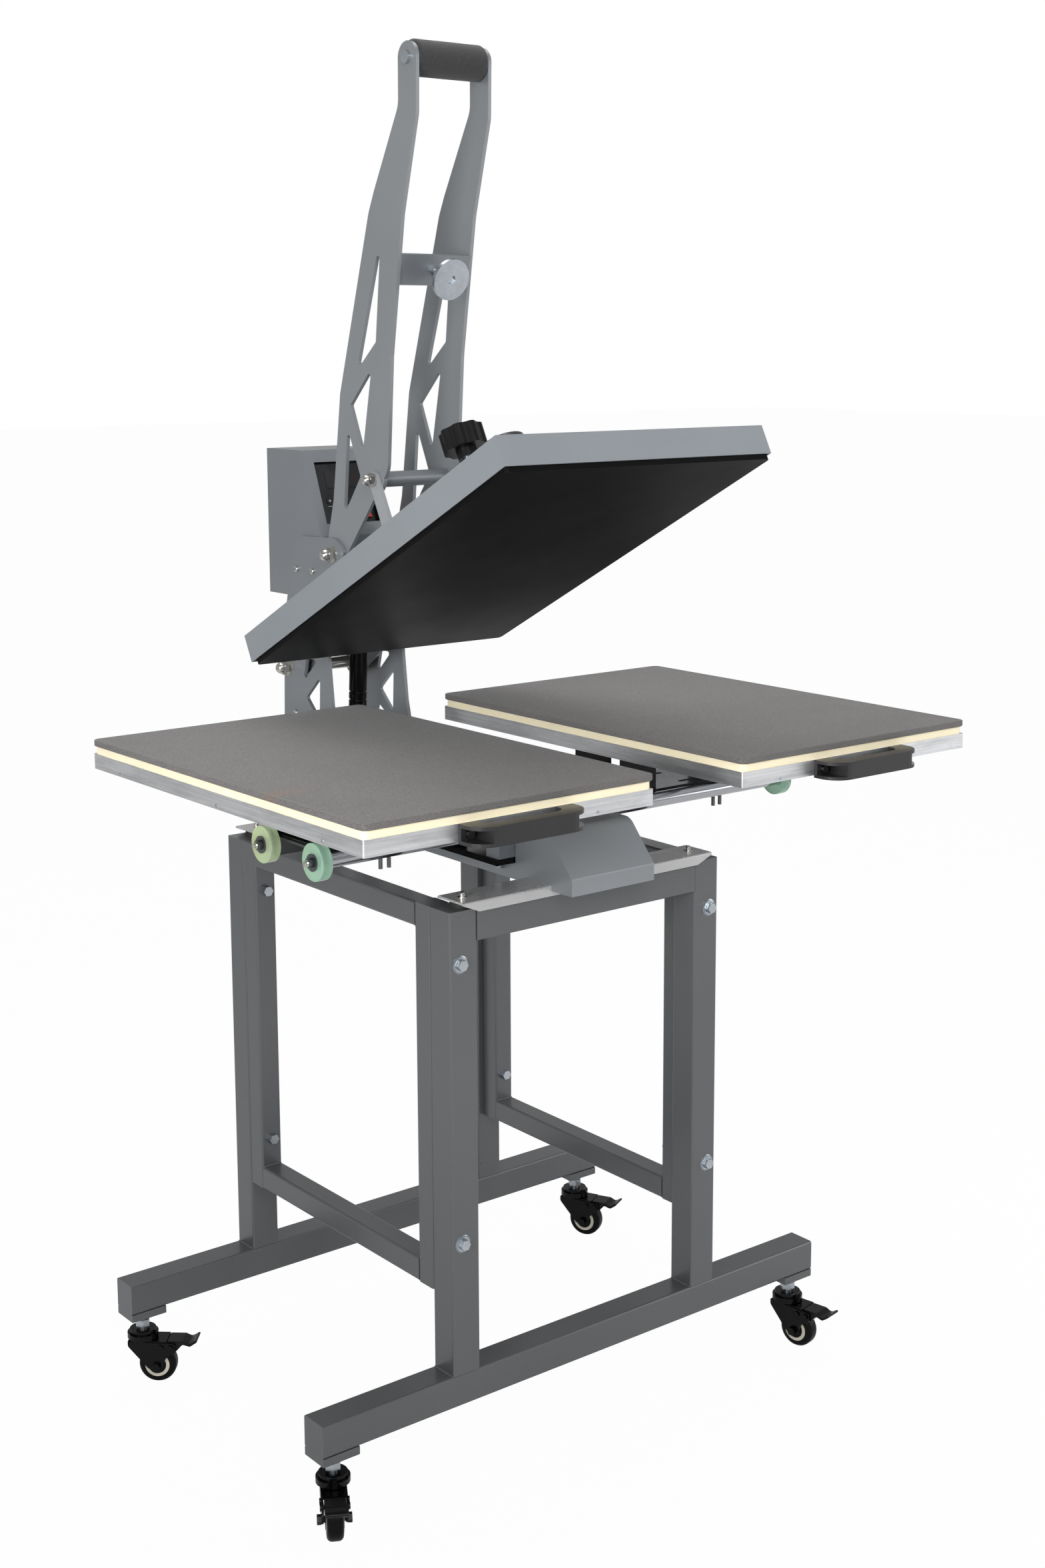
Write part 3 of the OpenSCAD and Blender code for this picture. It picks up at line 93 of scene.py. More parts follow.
def make_stage():
    area_light("key", (-1.7, -3.7, 3.0), (0, 0, 0.9), (2.4, 1.6), 82)
    area_light("edge", (-2.3, -1.0, 1.3), (-0.2, -0.1, 1.2), (1.2, 0.9), 6.5, 60)
    area_light("fill", (3.0, -2.2, 1.6), (0, 0, 0.8), (1.6, 2.2), 26)
    area_light("top", (0.2, 0.3, 3.9), (0, 0, 0.8), (2.6, 2.6), 42)
    world = bpy.data.worlds.new("world")
    scene.world = world
    world.use_nodes = True
    t = world.node_tree
    t.nodes.clear()
    out = t.nodes.new("ShaderNodeOutputWorld")
    mix = t.nodes.new("ShaderNodeMixShader")
    seen = t.nodes.new("ShaderNodeBackground")
    lit = t.nodes.new("ShaderNodeBackground")
    path = t.nodes.new("ShaderNodeLightPath")
    coord = t.nodes.new("ShaderNodeTexCoord")
    split = t.nodes.new("ShaderNodeSeparateXYZ")
    ramp = t.nodes.new("ShaderNodeValToRGB")
    scale = t.nodes.new("ShaderNodeMapRange")
    scale.inputs["From Min"].default_value = -1
    t.links.new(coord.outputs["Generated"], split.inputs[0])
    t.links.new(split.outputs["Z"], scale.inputs["Value"])
    t.links.new(scale.outputs["Result"], ramp.inputs[0])
    r = ramp.color_ramp
    r.elements[0].position, r.elements[0].color = 0.3, (0.30, 0.30, 0.30, 1)
    r.elements[1].position, r.elements[1].color = 1.0, (1.0, 1.0, 1.0, 1)
    for pos, v in ((0.46, 0.16), (0.54, 0.75), (0.64, 0.85), (0.74, 0.35)):
        e = r.elements.new(pos)
        e.color = (v, v, v, 1)
    t.links.new(ramp.outputs["Color"], lit.inputs["Color"])
    lit.inputs["Strength"].default_value = 0.7
    seen.inputs["Color"].default_value = (1, 1, 1, 1)
    t.links.new(path.outputs["Is Camera Ray"], mix.inputs["Fac"])
    t.links.new(lit.outputs[0], mix.inputs[1])
    t.links.new(seen.outputs[0], mix.inputs[2])
    t.links.new(mix.outputs[0], out.inputs["Surface"])
    mesh = bpy.data.meshes.new("floor")
    h = FLOOR_HALF
    mesh.from_pydata([(-h, -h, 0), (h, -h, 0), (h, h, 0), (-h, h, 0)], [], [(0, 1, 2, 3)])
    floor = bpy.data.objects.new("floor", mesh)
    scene.collection.objects.link(floor)
    m = bpy.data.materials.new("floor")
    m.use_nodes = True
    b = m.node_tree.nodes["Principled BSDF"]
    b.inputs["Base Color"].default_value = (0.8, 0.8, 0.8, 1)
    b.inputs["Roughness"].default_value = 0.9
    f = m.node_tree
    white = f.nodes.new("ShaderNodeEmission")
    white.inputs["Color"].default_value = (1, 1, 1, 1)
    ray = f.nodes.new("ShaderNodeLightPath")
    share = f.nodes.new("ShaderNodeMath")
    share.operation = "MULTIPLY"
    share.inputs[1].default_value = FLOOR_WHITE
    blend = f.nodes.new("ShaderNodeMixShader")
    f.links.new(ray.outputs["Is Camera Ray"], share.inputs[0])
    f.links.new(share.outputs[0], blend.inputs["Fac"])
    f.links.new(b.outputs[0], blend.inputs[1])
    f.links.new(white.outputs[0], blend.inputs[2])
    f.links.new(blend.outputs[0], f.nodes["Material Output"].inputs["Surface"])
    mesh.materials.append(m)


make_stage()


# Materials
class Shader:
    """A Principled material with helpers for noise, bump and mixing."""

    def __init__(self, name, rgb, rough, metal=0.0):
        self.m = bpy.data.materials.new(name)
        self.m.use_nodes = True
        self.t = self.m.node_tree
        self.b = self.t.nodes["Principled BSDF"]
        self.b.inputs["Base Color"].default_value = (*rgb, 1)
        self.b.inputs["Roughness"].default_value = rough
        self.b.inputs["Metallic"].default_value = metal
        self.coord = self.t.nodes.new("ShaderNodeTexCoord").outputs["Object"]
        self.normal = None

    def new(self, kind, **values):
        n = self.t.nodes.new("ShaderNode" + kind)
        for k, v in values.items():
            setattr(n, k, v)
        return n

    def link(self, a, b):
        self.t.links.new(a, b)

    def place(self, scale=(1, 1, 1), offset=(0, 0, 0)):
        n = self.new("Mapping")
        n.inputs["Scale"].default_value = scale
        n.inputs["Location"].default_value = offset
        self.link(self.coord, n.inputs["Vector"])
        return n.outputs[0]

    def noise(self, scale, detail=3, rough=0.5, stretch=(1, 1, 1)):
        n = self.new("TexNoise")
        n.inputs["Scale"].default_value = scale
        n.inputs["Detail"].default_value = detail
        n.inputs["Roughness"].default_value = rough
        self.link(self.place(stretch), n.inputs["Vector"])
        return n.outputs["Fac"]

    def ramp(self, value, stops):
        n = self.new("ValToRGB")
        e = n.color_ramp.elements
        while len(e) < len(stops):
            e.new(0.5)
        for el, (p, c) in zip(e, stops):
            el.position = p
            el.color = (c, c, c, 1) if isinstance(c, (int, float)) else (*c, 1)
        self.link(value, n.inputs[0])
        return n.outputs[0]

    def mix(self, factor, a, b, how="MIX"):
        n = self.new("Mix", data_type="RGBA", blend_type=how)
        for sock, v in ((n.inputs[0], factor), (n.inputs[6], a), (n.inputs[7], b)):
            if isinstance(v, (int, float)):
                sock.default_value = v
            elif isinstance(v, tuple):
                sock.default_value = (*v, 1)
            else:
                self.link(v, sock)
        return n.outputs[2]

    def bump(self, height, strength, distance):
        n = self.new("Bump")
        n.inputs["Strength"].default_value = strength
        n.inputs["Distance"].default_value = distance
        self.link(height, n.inputs["Height"])
        if self.normal:
            self.link(self.normal, n.inputs["Normal"])
        self.normal = n.outputs[0]
        self.link(self.normal, self.b.inputs["Normal"])

    def color(self, sock):
        self.link(sock, self.b.inputs["Base Color"])

    def roughness(self, value, low, high):
        n = self.new("MapRange")
        n.inputs["To Min"].default_value = low
        n.inputs["To Max"].default_value = high
        self.link(value, n.inputs["Value"])
        self.link(n.outputs[0], self.b.inputs["Roughness"])


def shade(rgb, k):
    return tuple(min(1, c * k) for c in rgb)


def paint(name, rgb, rough=0.4, metal=0.35, peel=0.12, flake=0.10):
    """Metallic powder coat: flakes, orange peel and a faint unevenness."""
    s = Shader(name, rgb, rough, metal)
    broad = s.ramp(s.noise(3.5, 4), [(0.3, shade(rgb, 0.95)), (0.7, shade(rgb, 1.05))])
    flakes = s.ramp(s.noise(2600, 1), [(0.35, 1 - flake), (0.7, 1.0)])
    s.color(s.mix(1.0, broad, flakes, "MULTIPLY"))
    s.roughness(s.noise(14, 5, 0.6), rough - 0.05, rough + 0.09)
    s.bump(s.noise(520, 2), peel, 0.0006)
    s.b.inputs["Coat Weight"].default_value = 0.15
    s.b.inputs["Coat Roughness"].default_value = 0.25
    return s.m


def metal(name, rgb, rough=0.25, blotch=0.10, grain=0.03, stretch=(1, 1, 1)):
    """Plated or turned steel with a blotchy plating and fine grain."""
    s = Shader(name, rgb, rough, 1.0)
    tones = [(0.25, shade(rgb, 1 - blotch)), (0.75, shade(rgb, 1 + blotch / 3))]
    s.color(s.ramp(s.noise(60, 5, 0.6), tones))
    s.roughness(s.noise(240, 4, 0.6, stretch), rough - 0.07, rough + 0.12)
    s.bump(s.noise(1500, 2, 0.5, stretch), grain, 0.0003)
    return s.m


def plastic(name, rgb, rough=0.45, grain=0.12, scale=1800, coat=0.0, shine=0.5):
    s = Shader(name, rgb, rough)
    s.b.inputs["Specular IOR Level"].default_value = shine
    s.color(s.ramp(s.noise(12, 4), [(0.3, shade(rgb, 0.85)), (0.7, shade(rgb, 1.2))]))
    s.roughness(s.noise(40, 4), rough - 0.06, rough + 0.08)
    s.bump(s.noise(scale, 2), grain, 0.0003)
    s.b.inputs["Coat Weight"].default_value = coat
    s.b.inputs["Coat Roughness"].default_value = 0.12
    return s.m


def sponge():
    rgb = (0.125, 0.118, 0.115)
    s = Shader("sponge", rgb, 0.85)
    pores = s.new("TexVoronoi", feature="DISTANCE_TO_EDGE")
    pores.inputs["Scale"].default_value = 620
    s.link(s.coord, pores.inputs["Vector"])
    fine = s.ramp(s.noise(900, 3, 0.7), [(0.35, shade(rgb, 0.5)), (0.62, shade(rgb, 1.5))])
    wide = s.ramp(s.noise(4, 4, 0.6), [(0.3, 0.8), (0.7, 1.0)])
    spot = s.new("TexGradient", gradient_type="SPHERICAL")
    s.link(s.place((22, 55, 8), (0.4213 * 22, 0.2278 * 55, -0.885 * 8)), spot.inputs["Vector"])
    stain = s.ramp(spot.outputs["Fac"], [(0.0, 0.0), (0.9, 0.45)])
    grey = s.mix(1.0, fine, wide, "MULTIPLY")
    s.color(s.mix(stain, grey, (0.20, 0.11, 0.06)))
    s.bump(s.noise(1400, 3, 0.7), 0.5, 0.0006)
    s.bump(pores.outputs["Distance"], 0.35, 0.0008)
    s.b.inputs["Sheen Weight"].default_value = 0.15
    return s.m


def silicone():
    rgb = (0.92, 0.83, 0.60)
    s = Shader("silicone", rgb, 0.5)
    s.color(s.ramp(s.noise(9, 4), [(0.3, shade(rgb, 0.93)), (0.7, shade(rgb, 1.04))]))
    s.bump(s.noise(700, 3), 0.2, 0.0004)
    s.b.inputs["Subsurface Weight"].default_value = 0.15
    s.b.inputs["Subsurface Radius"].default_value = (0.006, 0.004, 0.002)
    return s.m


def extruded():
    """Mill finish aluminium with long drawn lines and scuffs."""
    rgb = (0.80, 0.81, 0.83)
    s = Shader("extruded_aluminium", rgb, 0.34, 1.0)
    lines = s.noise(420, 3, 0.7, (0.01, 0.01, 1))
    scuff = s.noise(22, 6, 0.75, (0.35, 0.35, 2.2))
    base = s.ramp(lines, [(0.3, shade(rgb, 0.86)), (0.7, shade(rgb, 1.1))])
    marks = s.ramp(scuff, [(0.40, 0.84), (0.55, 1.0)])
    s.color(s.mix(1.0, base, marks, "MULTIPLY"))
    s.roughness(scuff, 0.22, 0.5)
    s.bump(lines, 0.25, 0.0005)
    return s.m


def coated():
    rgb = (0.002, 0.002, 0.0023)
    s = Shader("coated_aluminium", rgb, 0.42)
    s.b.inputs["Specular IOR Level"].default_value = 0.08
    s.color(s.ramp(s.noise(5, 5, 0.6), [(0.3, shade(rgb, 0.8)), (0.7, shade(rgb, 1.6))]))
    s.roughness(s.noise(9, 5, 0.65), 0.36, 0.5)
    s.bump(s.noise(1600, 2), 0.1, 0.0003)
    return s.m


def urethane():
    s = Shader("polyurethane", (0.55, 0.85, 0.70), 0.22)
    split = s.new("SeparateXYZ")
    s.link(s.coord, split.inputs[0])
    near = s.new("MapRange")
    near.inputs["From Min"].default_value = -0.20
    near.inputs["From Max"].default_value = -0.02
    s.link(split.outputs["Y"], near.inputs["Value"])
    s.color(s.ramp(near.outputs[0], [(0.0, (0.50, 0.84, 0.66)), (1.0, (0.78, 0.86, 0.50))]))
    s.b.inputs["Transmission Weight"].default_value = 0.55
    s.b.inputs["IOR"].default_value = 1.5
    s.b.inputs["Subsurface Weight"].default_value = 0.3
    s.b.inputs["Subsurface Radius"].default_value = (0.006, 0.01, 0.008)
    s.bump(s.noise(300, 2), 0.04, 0.0004)
    return s.m


def foam():
    rgb = (0.018, 0.018, 0.019)
    s = Shader("foam", rgb, 0.8)
    s.color(s.ramp(s.noise(700, 3, 0.7), [(0.35, shade(rgb, 0.6)), (0.65, shade(rgb, 1.7))]))
    s.bump(s.noise(1100, 3, 0.7), 0.5, 0.0006)
    s.b.inputs["Sheen Weight"].default_value = 0.2
    return s.m


M = {
    "stand": paint("stand_paint", (0.135, 0.141, 0.147), 0.28, 0.5, 0.16, 0.16),
    "sheet": paint("channel_sheet", (0.52, 0.52, 0.52), 0.25, 0.45, 0.08, 0.05),
    # arms and base box: the body paint made lighter, painted light standing in for the stronger light
    # falling on them
    "arm": paint("body_paint_lit_copy", (0.28, 0.296, 0.312), 0.36, 0.5),
    "body": paint("body_paint", (0.245, 0.261, 0.278), 0.36, 0.55),
    "head": paint("head_paint", (0.30, 0.325, 0.35), 0.36, 0.45, 0.08, 0.06),
    "link": paint("link_paint", (0.34, 0.35, 0.365), 0.42, 0.30),
    "black": plastic("black_paint", (0.0015, 0.0015, 0.0016), 0.16, 0.04, 900, 0.0, 0.22),
    "channel": plastic("channel_paint", (0.012, 0.013, 0.015), 0.25, 0.05, 700, 0.5),
    "dark": metal("dark_steel", (0.16, 0.16, 0.17), 0.28),
    "zinc": metal("zinc_steel", (0.52, 0.56, 0.60), 0.24, 0.2),
    "nickel": metal("nickel_steel", (0.60, 0.58, 0.54), 0.12, 0.02, 0.0),
    "rod": metal("ground_rod", (0.42, 0.43, 0.45), 0.1, 0.03, 0.0),
    "washer": metal("washer_steel", (0.30, 0.33, 0.36), 0.25, 0.2),
    "yellow": metal("yellow_zinc", (0.78, 0.66, 0.36), 0.28),
    "chrome": metal("chrome", (0.86, 0.86, 0.87), 0.07, 0.02, 0.0),
    "tray": extruded(),
    "bright": metal("bright_aluminium", (0.84, 0.85, 0.86), 0.22, 0.05, 0.02, (1, 1, 0.05)),
    "coated": coated(),
    "plastic": plastic("black_plastic", (0.004, 0.004, 0.0043), 0.3, 0.12, 1800, 0.0, 0.22),
    "grip": plastic("handle_plastic", (0.016, 0.016, 0.017), 0.34, 0.12, 1800, 0.0, 0.55),
    "panel": plastic("panel", (0.008, 0.008, 0.009), 0.16, 0.01, 400, 0.4),
    "red": plastic("red_plastic", (0.50, 0.015, 0.012), 0.25, 0.02, 400, 0.4),
    "rubber": plastic("black_rubber", (0.02, 0.02, 0.02), 0.65, 0.25, 900),
    "tyre": plastic("tyre", (0.002, 0.002, 0.002), 0.3, 0.1, 700, 0.0, 0.15),
    "ring": plastic("wheel_ring", (0.60, 0.56, 0.47), 0.45, 0.08, 900),
    "digit": plastic("unlit_digit", (0.022, 0.006, 0.006), 0.2, 0.01, 400, 0.4),
    "mark": plastic("key_mark", (0.55, 0.56, 0.57), 0.4, 0.02, 400),
    "sponge": sponge(),
    "silicone": silicone(),
    "urethane": urethane(),
    "foam": foam(),
}

LOOK = {
    "stand": ["front_frame", "rear_frame", "side_frames"],
    "sheet": ["cross_channels"],
    "body": ["bearing_blocks", "tower_left", "tower_right", "control_box", "pressure_bridge", "yoke",
             "cross_plate"],
    "arm": ["arm_left", "arm_right", "base_box"],
    "head": ["head_cover"],
    "link": ["links"],
    "zinc": ["frame_bolts", "base_screws", "caster_stems", "armature_disc", "pressure_screw", "float_pin",
             "grip_tube"],
    "nickel": ["tower_shafts", "toggle_shaft"],
    "rubber": ["rubber_mounts", "heater_cable"],
    "black": ["bearing_plate", "gas_cylinder", "tray_brackets"],
    "channel": ["slide_channel"],
    "dark": ["carriage_screws", "holding_magnet"],
    "rod": ["slide_rods"],
    "yellow": ["pivot_discs"],
    "panel": ["control_panel"],
    "red": ["rocker_switch"],
    "coated": ["heat_platen"],
    "plastic": ["pressure_knob"],
    "grip": ["tray_handles"],
    "chrome": ["gas_rod"],
    "urethane": ["stop_discs"],
    "tray": ["trays"],
    "silicone": ["silicone_layers"],
    "sponge": ["pads"],
    "foam": ["foam_grip"],
}
CORNERS = ["front_left", "front_right", "rear_left", "rear_right"]
LOOK["black"] += ["fork_" + c for c in CORNERS]
LOOK["tyre"] = ["wheel_" + c for c in CORNERS]
LOOK["plastic"] += ["brake_" + c for c in CORNERS]


def paint_node(name, mat):
    me = nodes[name].data
    me.materials.clear()
    me.materials.append(mat)


EDGE_ANGLE = 32
FLAT_ANGLE = 0.2


def soften(name, width):
    """Small rounded edges on a CAD node, with modifiers only."""
    o = nodes[name]
    d = o.modifiers.new("flat", "DECIMATE")
    d.decimate_type = "DISSOLVE"
    d.angle_limit = math.radians(FLAT_ANGLE)
    b = o.modifiers.new("edge", "BEVEL")
    b.width = width
    b.segments = 2
    b.limit_method = "ANGLE"
    b.angle_limit = math.radians(EDGE_ANGLE)
    b.harden_normals = False
    b.use_clamp_overlap = True


for key, names in LOOK.items():
    for n in names:
        paint_node(n, M[key])

# Bevel widths in metres, and the nodes that get them
SOFT = {
    0.0018: ["front_frame", "rear_frame", "side_frames"],
    0.0014: ["head_cover", "tray_handles"],
    0.0009: ["cross_channels", "base_box", "control_box", "trays", "slide_channel", "pressure_knob",
             "stop_discs", "heat_platen"] + ["wheel_" + c for c in CORNERS],
    0.0006: ["arm_left", "arm_right", "links", "tower_left", "tower_right", "cross_plate", "yoke",
             "armature_disc", "bearing_blocks", "bearing_plate", "tray_brackets"]
            + ["fork_" + c for c in CORNERS] + ["brake_" + c for c in CORNERS],
    0.0004: ["frame_bolts", "tower_shafts", "toggle_shaft", "caster_stems", "carriage_screws"],
}
for width, names in SOFT.items():
    for n in names:
        soften(n, width)


# Mesh helpers
def add(name, mesh, body, mat, smooth=None):
    obj = bpy.data.objects.new(name, mesh)
    scene.collection.objects.link(obj)
    mesh.materials.clear()
    mesh.materials.append(mat)
    if smooth is not None:
        mesh.shade_smooth()
        mesh.set_sharp_from_angle(angle=math.radians(smooth))
    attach(obj, body)
    return obj


def from_bm(name, bm):
    mesh = bpy.data.meshes.new(name)
    bmesh.ops.recalc_face_normals(bm, faces=bm.faces)
    bm.to_mesh(mesh)
    bm.free()
    return mesh


def lathe(bm, profile, centre, axis, steps=48):
    """Turns profile points (radius, along) about the axis through centre. Lengths in metres."""
    axis = Vector(axis).normalized()
    side = axis.orthogonal().normalized()
    other = axis.cross(side)
    centre = Vector(centre)
    rings = []
    for r, a in profile:
        ring = []
        if r < 1e-6:
            ring = [bm.verts.new(centre + axis * a)]
        else:
            for k in range(steps):
                t = 2 * math.pi * k / steps
                out = side * (r * math.cos(t)) + other * (r * math.sin(t))
                ring.append(bm.verts.new(centre + axis * a + out))
        rings.append(ring)
    for p, q in zip(rings, rings[1:]):
        for k in range(steps):
            j = (k + 1) % steps
            if len(p) == 1 and len(q) == 1:
                continue
            if len(p) == 1:
                bm.faces.new((p[0], q[k], q[j]))
            elif len(q) == 1:
                bm.faces.new((p[k], p[j], q[0]))
            else:
                bm.faces.new((p[k], p[j], q[j], q[k]))


def rounded_rect(w, h, r, steps=8):
    pts = []
    for cx, cy, a0 in ((1, 1, 0), (-1, 1, 90), (-1, -1, 180), (1, -1, 270)):
        for k in range(steps + 1):
            a = math.radians(a0 + 90 * k / steps)
            pts.append((cx * (w / 2 - r) + r * math.cos(a), cy * (h / 2 - r) + r * math.sin(a)))
    return pts


def slab(bm, levels, cx, cy):
    """Stacks rounded outlines (w, h, r, z) into a closed form."""
    rings = [[bm.verts.new((cx + x, cy + y, z)) for x, y in rounded_rect(w, h, r)] for w, h, r, z in levels]
    for p, q in zip(rings, rings[1:]):
        for k in range(len(p)):
            j = (k + 1) % len(p)
            bm.faces.new((p[k], p[j], q[j], q[k]))
    bm.faces.new(list(reversed(rings[0])))
    bm.faces.new(rings[-1])


# Soft pieces: sponge pads and the foam grip
PAD_W = 0.400
PAD_R = 0.010
PAD_EDGE = 0.0012


def make_pads():
    lo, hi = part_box("pads")
    w, l = PAD_W, hi[1] - lo[1]
    z0, z1 = lo[2], hi[2]
    cy = (lo[1] + hi[1]) / 2
    for name, cx in (("pad_left", lo[0] + w / 2), ("pad_right", hi[0] - w / 2)):
        bm = bmesh.new()
        r, e = PAD_R, PAD_EDGE
        slab(bm, [(w - 2 * e, l - 2 * e, r - e, z0), (w, l, r, z0 + e), (w, l, r, z1 - e),
                  (w - 0.6 * e, l - 0.6 * e, r - 0.3 * e, z1 - 0.3 * e),
                  (w - 2.4 * e, l - 2.4 * e, r - 1.2 * e, z1)], cx, cy)
        obj = add(name, from_bm(name, bm), "carriage", M["sponge"], 40)
        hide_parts("pads")


GRIP_BORE = 0.0126
GRIP_ROUND = 0.0045


def make_grip():
    lo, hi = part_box("foam_grip")
    c = [(a + b) / 2 for a, b in zip(lo, hi)]
    r, half = (hi[2] - lo[2]) / 2, (hi[0] - lo[0]) / 2
    bm = bmesh.new()
    prof = [(GRIP_BORE, -half), (r * 0.80, -half)]
    for a in (15, 30, 45, 60, 75, 90):
        a = math.radians(a)
        prof.append((r * 0.80 + r * 0.20 * math.sin(a), -half + GRIP_ROUND * (1 - math.cos(a))))
    for x in (-0.6, -0.2, 0.2, 0.6):
        prof.append((r * (0.985 + 0.015 * math.cos(x * math.pi / 2)), half * 0.9 * x))
    prof += [(p, -a) for p, a in reversed(prof[:8])]
    lathe(bm, prof, c, (1, 0, 0), 64)
    obj = add("foam_grip_soft", from_bm("foam_grip_soft", bm), "arm", M["foam"], 50)
    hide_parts("foam_grip")


make_pads()
make_grip()

# Wheels: pale ring on each side. Casters as place of the stem and swivel angle
TRAIL = 0.020
WHEEL_R = 0.025
RING_PROFILE = [(0.0118, 0.0099), (0.0119, 0.0104), (0.0161, 0.0104), (0.0164, 0.0099)]
CASTER = {"front_left": (-0.374, -0.231, -120), "front_right": (0.374, -0.231, -79),
          "rear_left": (-0.374, 0.231, -41), "rear_right": (0.374, 0.231, -63)}


def make_wheel_rings():
    for c, (x, y, a) in CASTER.items():
        a = math.radians(a)
        centre = (x + TRAIL * math.cos(a), y + TRAIL * math.sin(a), WHEEL_R)
        bm = bmesh.new()
        for s in (-1, 1):
            lathe(bm, [(r, s * h) for r, h in RING_PROFILE], centre, (-math.sin(a), math.cos(a), 0), 56)
        add("wheel_ring_" + c, from_bm("wheel_ring_" + c, bm), "roller_" + c, M["ring"], 40)


make_wheel_rings()


# Weld beads
def bead(bm, a, b, r=0.0016, pitch=0.0022):
    """A rippled fillet weld from a to b."""
    a, b = Vector(a), Vector(b)
    n = max(4, int((b - a).length / pitch * 4))
    axis = (b - a).normalized()
    side = axis.orthogonal().normalized()
    other = axis.cross(side)
    rings = []
    for i in range(n + 1):
        t = i / n
        k = r * (0.82 + 0.18 * abs(math.sin(math.pi * t * (b - a).length / pitch)))
        k *= min(1, 0.35 + 6 * min(t, 1 - t))
        rings.append([bm.verts.new(a.lerp(b, t) + side * (k * math.cos(q * math.pi / 4))
                                   + other * (k * math.sin(q * math.pi / 4))) for q in range(8)])
    for p, q in zip(rings, rings[1:]):
        for k in range(8):
            j = (k + 1) % 8
            bm.faces.new((p[k], p[j], q[j], q[k]))
    bm.faces.new(list(reversed(rings[0])))
    bm.faces.new(rings[-1])


def make_welds():
    bm = bmesh.new()
    for sx in (-1, 1):
        for sy in (-1, 1):
            x, y, z = sx * 0.193, sy * 0.231, 0.144
            for i in (-1, 1):
                bead(bm, (x + i * 0.020, y - 0.019, z), (x + i * 0.020, y + 0.019, z))
            bead(bm, (x - sx * 0.020, y - 0.019, 0.678), (x - sx * 0.020, y + 0.019, 0.678))
            u, w = sy * 0.196, sx * 0.198
            bead(bm, (w - 0.014, u - sy * 0.015, 0.272), (w + 0.014, u - sy * 0.015, 0.272))
            bead(bm, (w - 0.014, u - sy * 0.015, 0.688), (w + 0.014, u - sy * 0.015, 0.688))
    add("weld_beads", from_bm("weld_beads", bm), "stand", M["stand"], 60)


make_welds()


# Painted sleeve over the toggle shaft
TOGGLE_AT = (0, 0.112, 1.193)
SLEEVE_R = 0.01015
SLEEVE_GAP = 0.0001


def make_sleeve():
    lo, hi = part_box("arm_left")[1][0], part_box("arm_right")[0][0]
    bm = bmesh.new()
    h = (hi - lo) / 2 - SLEEVE_GAP
    prof = [(0.0098, -h), (SLEEVE_R, -h + 0.0003), (SLEEVE_R, h - 0.0003), (0.0098, h)]
    lathe(bm, prof, TOGGLE_AT, (1, 0, 0), 48)
    add("toggle_sleeve", from_bm("toggle_sleeve", bm), "arm", M["body"], 40)


# Cross-head and plain screws
def screw_head(bm, place, axis, r, h):
    """Pan head with a cross recess, standing on place."""
    axis = Vector(axis).normalized()
    place = Vector(place)
    lathe(bm, [(r, 0), (r, 0.35 * h), (r * 0.82, 0.8 * h), (r * 0.5, h), (0, h * 1.02)], place, axis, 24)
    side = axis.orthogonal().normalized()
    for d in (side, axis.cross(side)):
        w = axis.cross(d)
        quad = [place + axis * (h * 1.04) + d * (a * r * 0.55) + w * (b * r * 0.11)
                for a, b in ((-1, -1), (1, -1), (1, 1), (-1, 1))]
        deep = [q - axis * (h * 0.3) for q in quad]
        v = [bm.verts.new(q) for q in quad + deep]
        for f in ((0, 1, 2, 3), (4, 7, 6, 5), (0, 4, 5, 1), (1, 5, 6, 2), (2, 6, 7, 3), (3, 7, 4, 0)):
            bm.faces.new([v[i] for i in f])


TRAY_SCREW = (0.0022, 0.0007)


def make_tray_screws():
    lo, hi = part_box("trays")
    z = lo[2] + 0.004
    bm = bmesh.new()
    for x in (-0.2945, -0.121, 0.165, 0.2598):
        screw_head(bm, (x, lo[1], z), (0, -1, 0), *TRAY_SCREW)
    for x, side in ((lo[0], -1), (hi[0], 1)):
        for y in (-0.33, -0.11, 0.12):
            screw_head(bm, (x, y, z), (side, 0, 0), *TRAY_SCREW)
    for x in (-0.2945, -0.18, 0.165, 0.36):
        screw_head(bm, (x, hi[1], z), (0, 1, 0), *TRAY_SCREW)
    add("tray_screws", from_bm("tray_screws", bm), "carriage", M["zinc"], 40)


# Control panel: unlit digits and key marks
FACE_AT = Vector((0, 0.2685, 1.1665))
FACE_UP = Vector((0, 0.3502, 0.9367))
FACE_OUT = Vector((0, -0.9367, 0.3502))


def face_quad(bm, x, u, w, h, out):
    """A flat bar of w by h at (x across, u up) on the panel, in mm, raised to out."""
    def at(dx, du, d):
        across = Vector((1, 0, 0)) * ((x + dx) * MM)
        return FACE_AT + across + FACE_UP * ((u + du) * MM) + FACE_OUT * (d * MM)
    v = [bm.verts.new(at(a * w / 2, b * h / 2, d)) for d in (out - 0.3, out)
         for a, b in ((-1, -1), (1, -1), (1, 1), (-1, 1))]
    for f in ((3, 2, 1, 0), (4, 5, 6, 7), (0, 1, 5, 4), (1, 2, 6, 5), (2, 3, 7, 6), (3, 0, 4, 7)):
        bm.faces.new([v[i] for i in f])


SEGMENTS = {"1": "bc", "8": "abcdefg", "0": "abcdef", "5": "acdfg"}


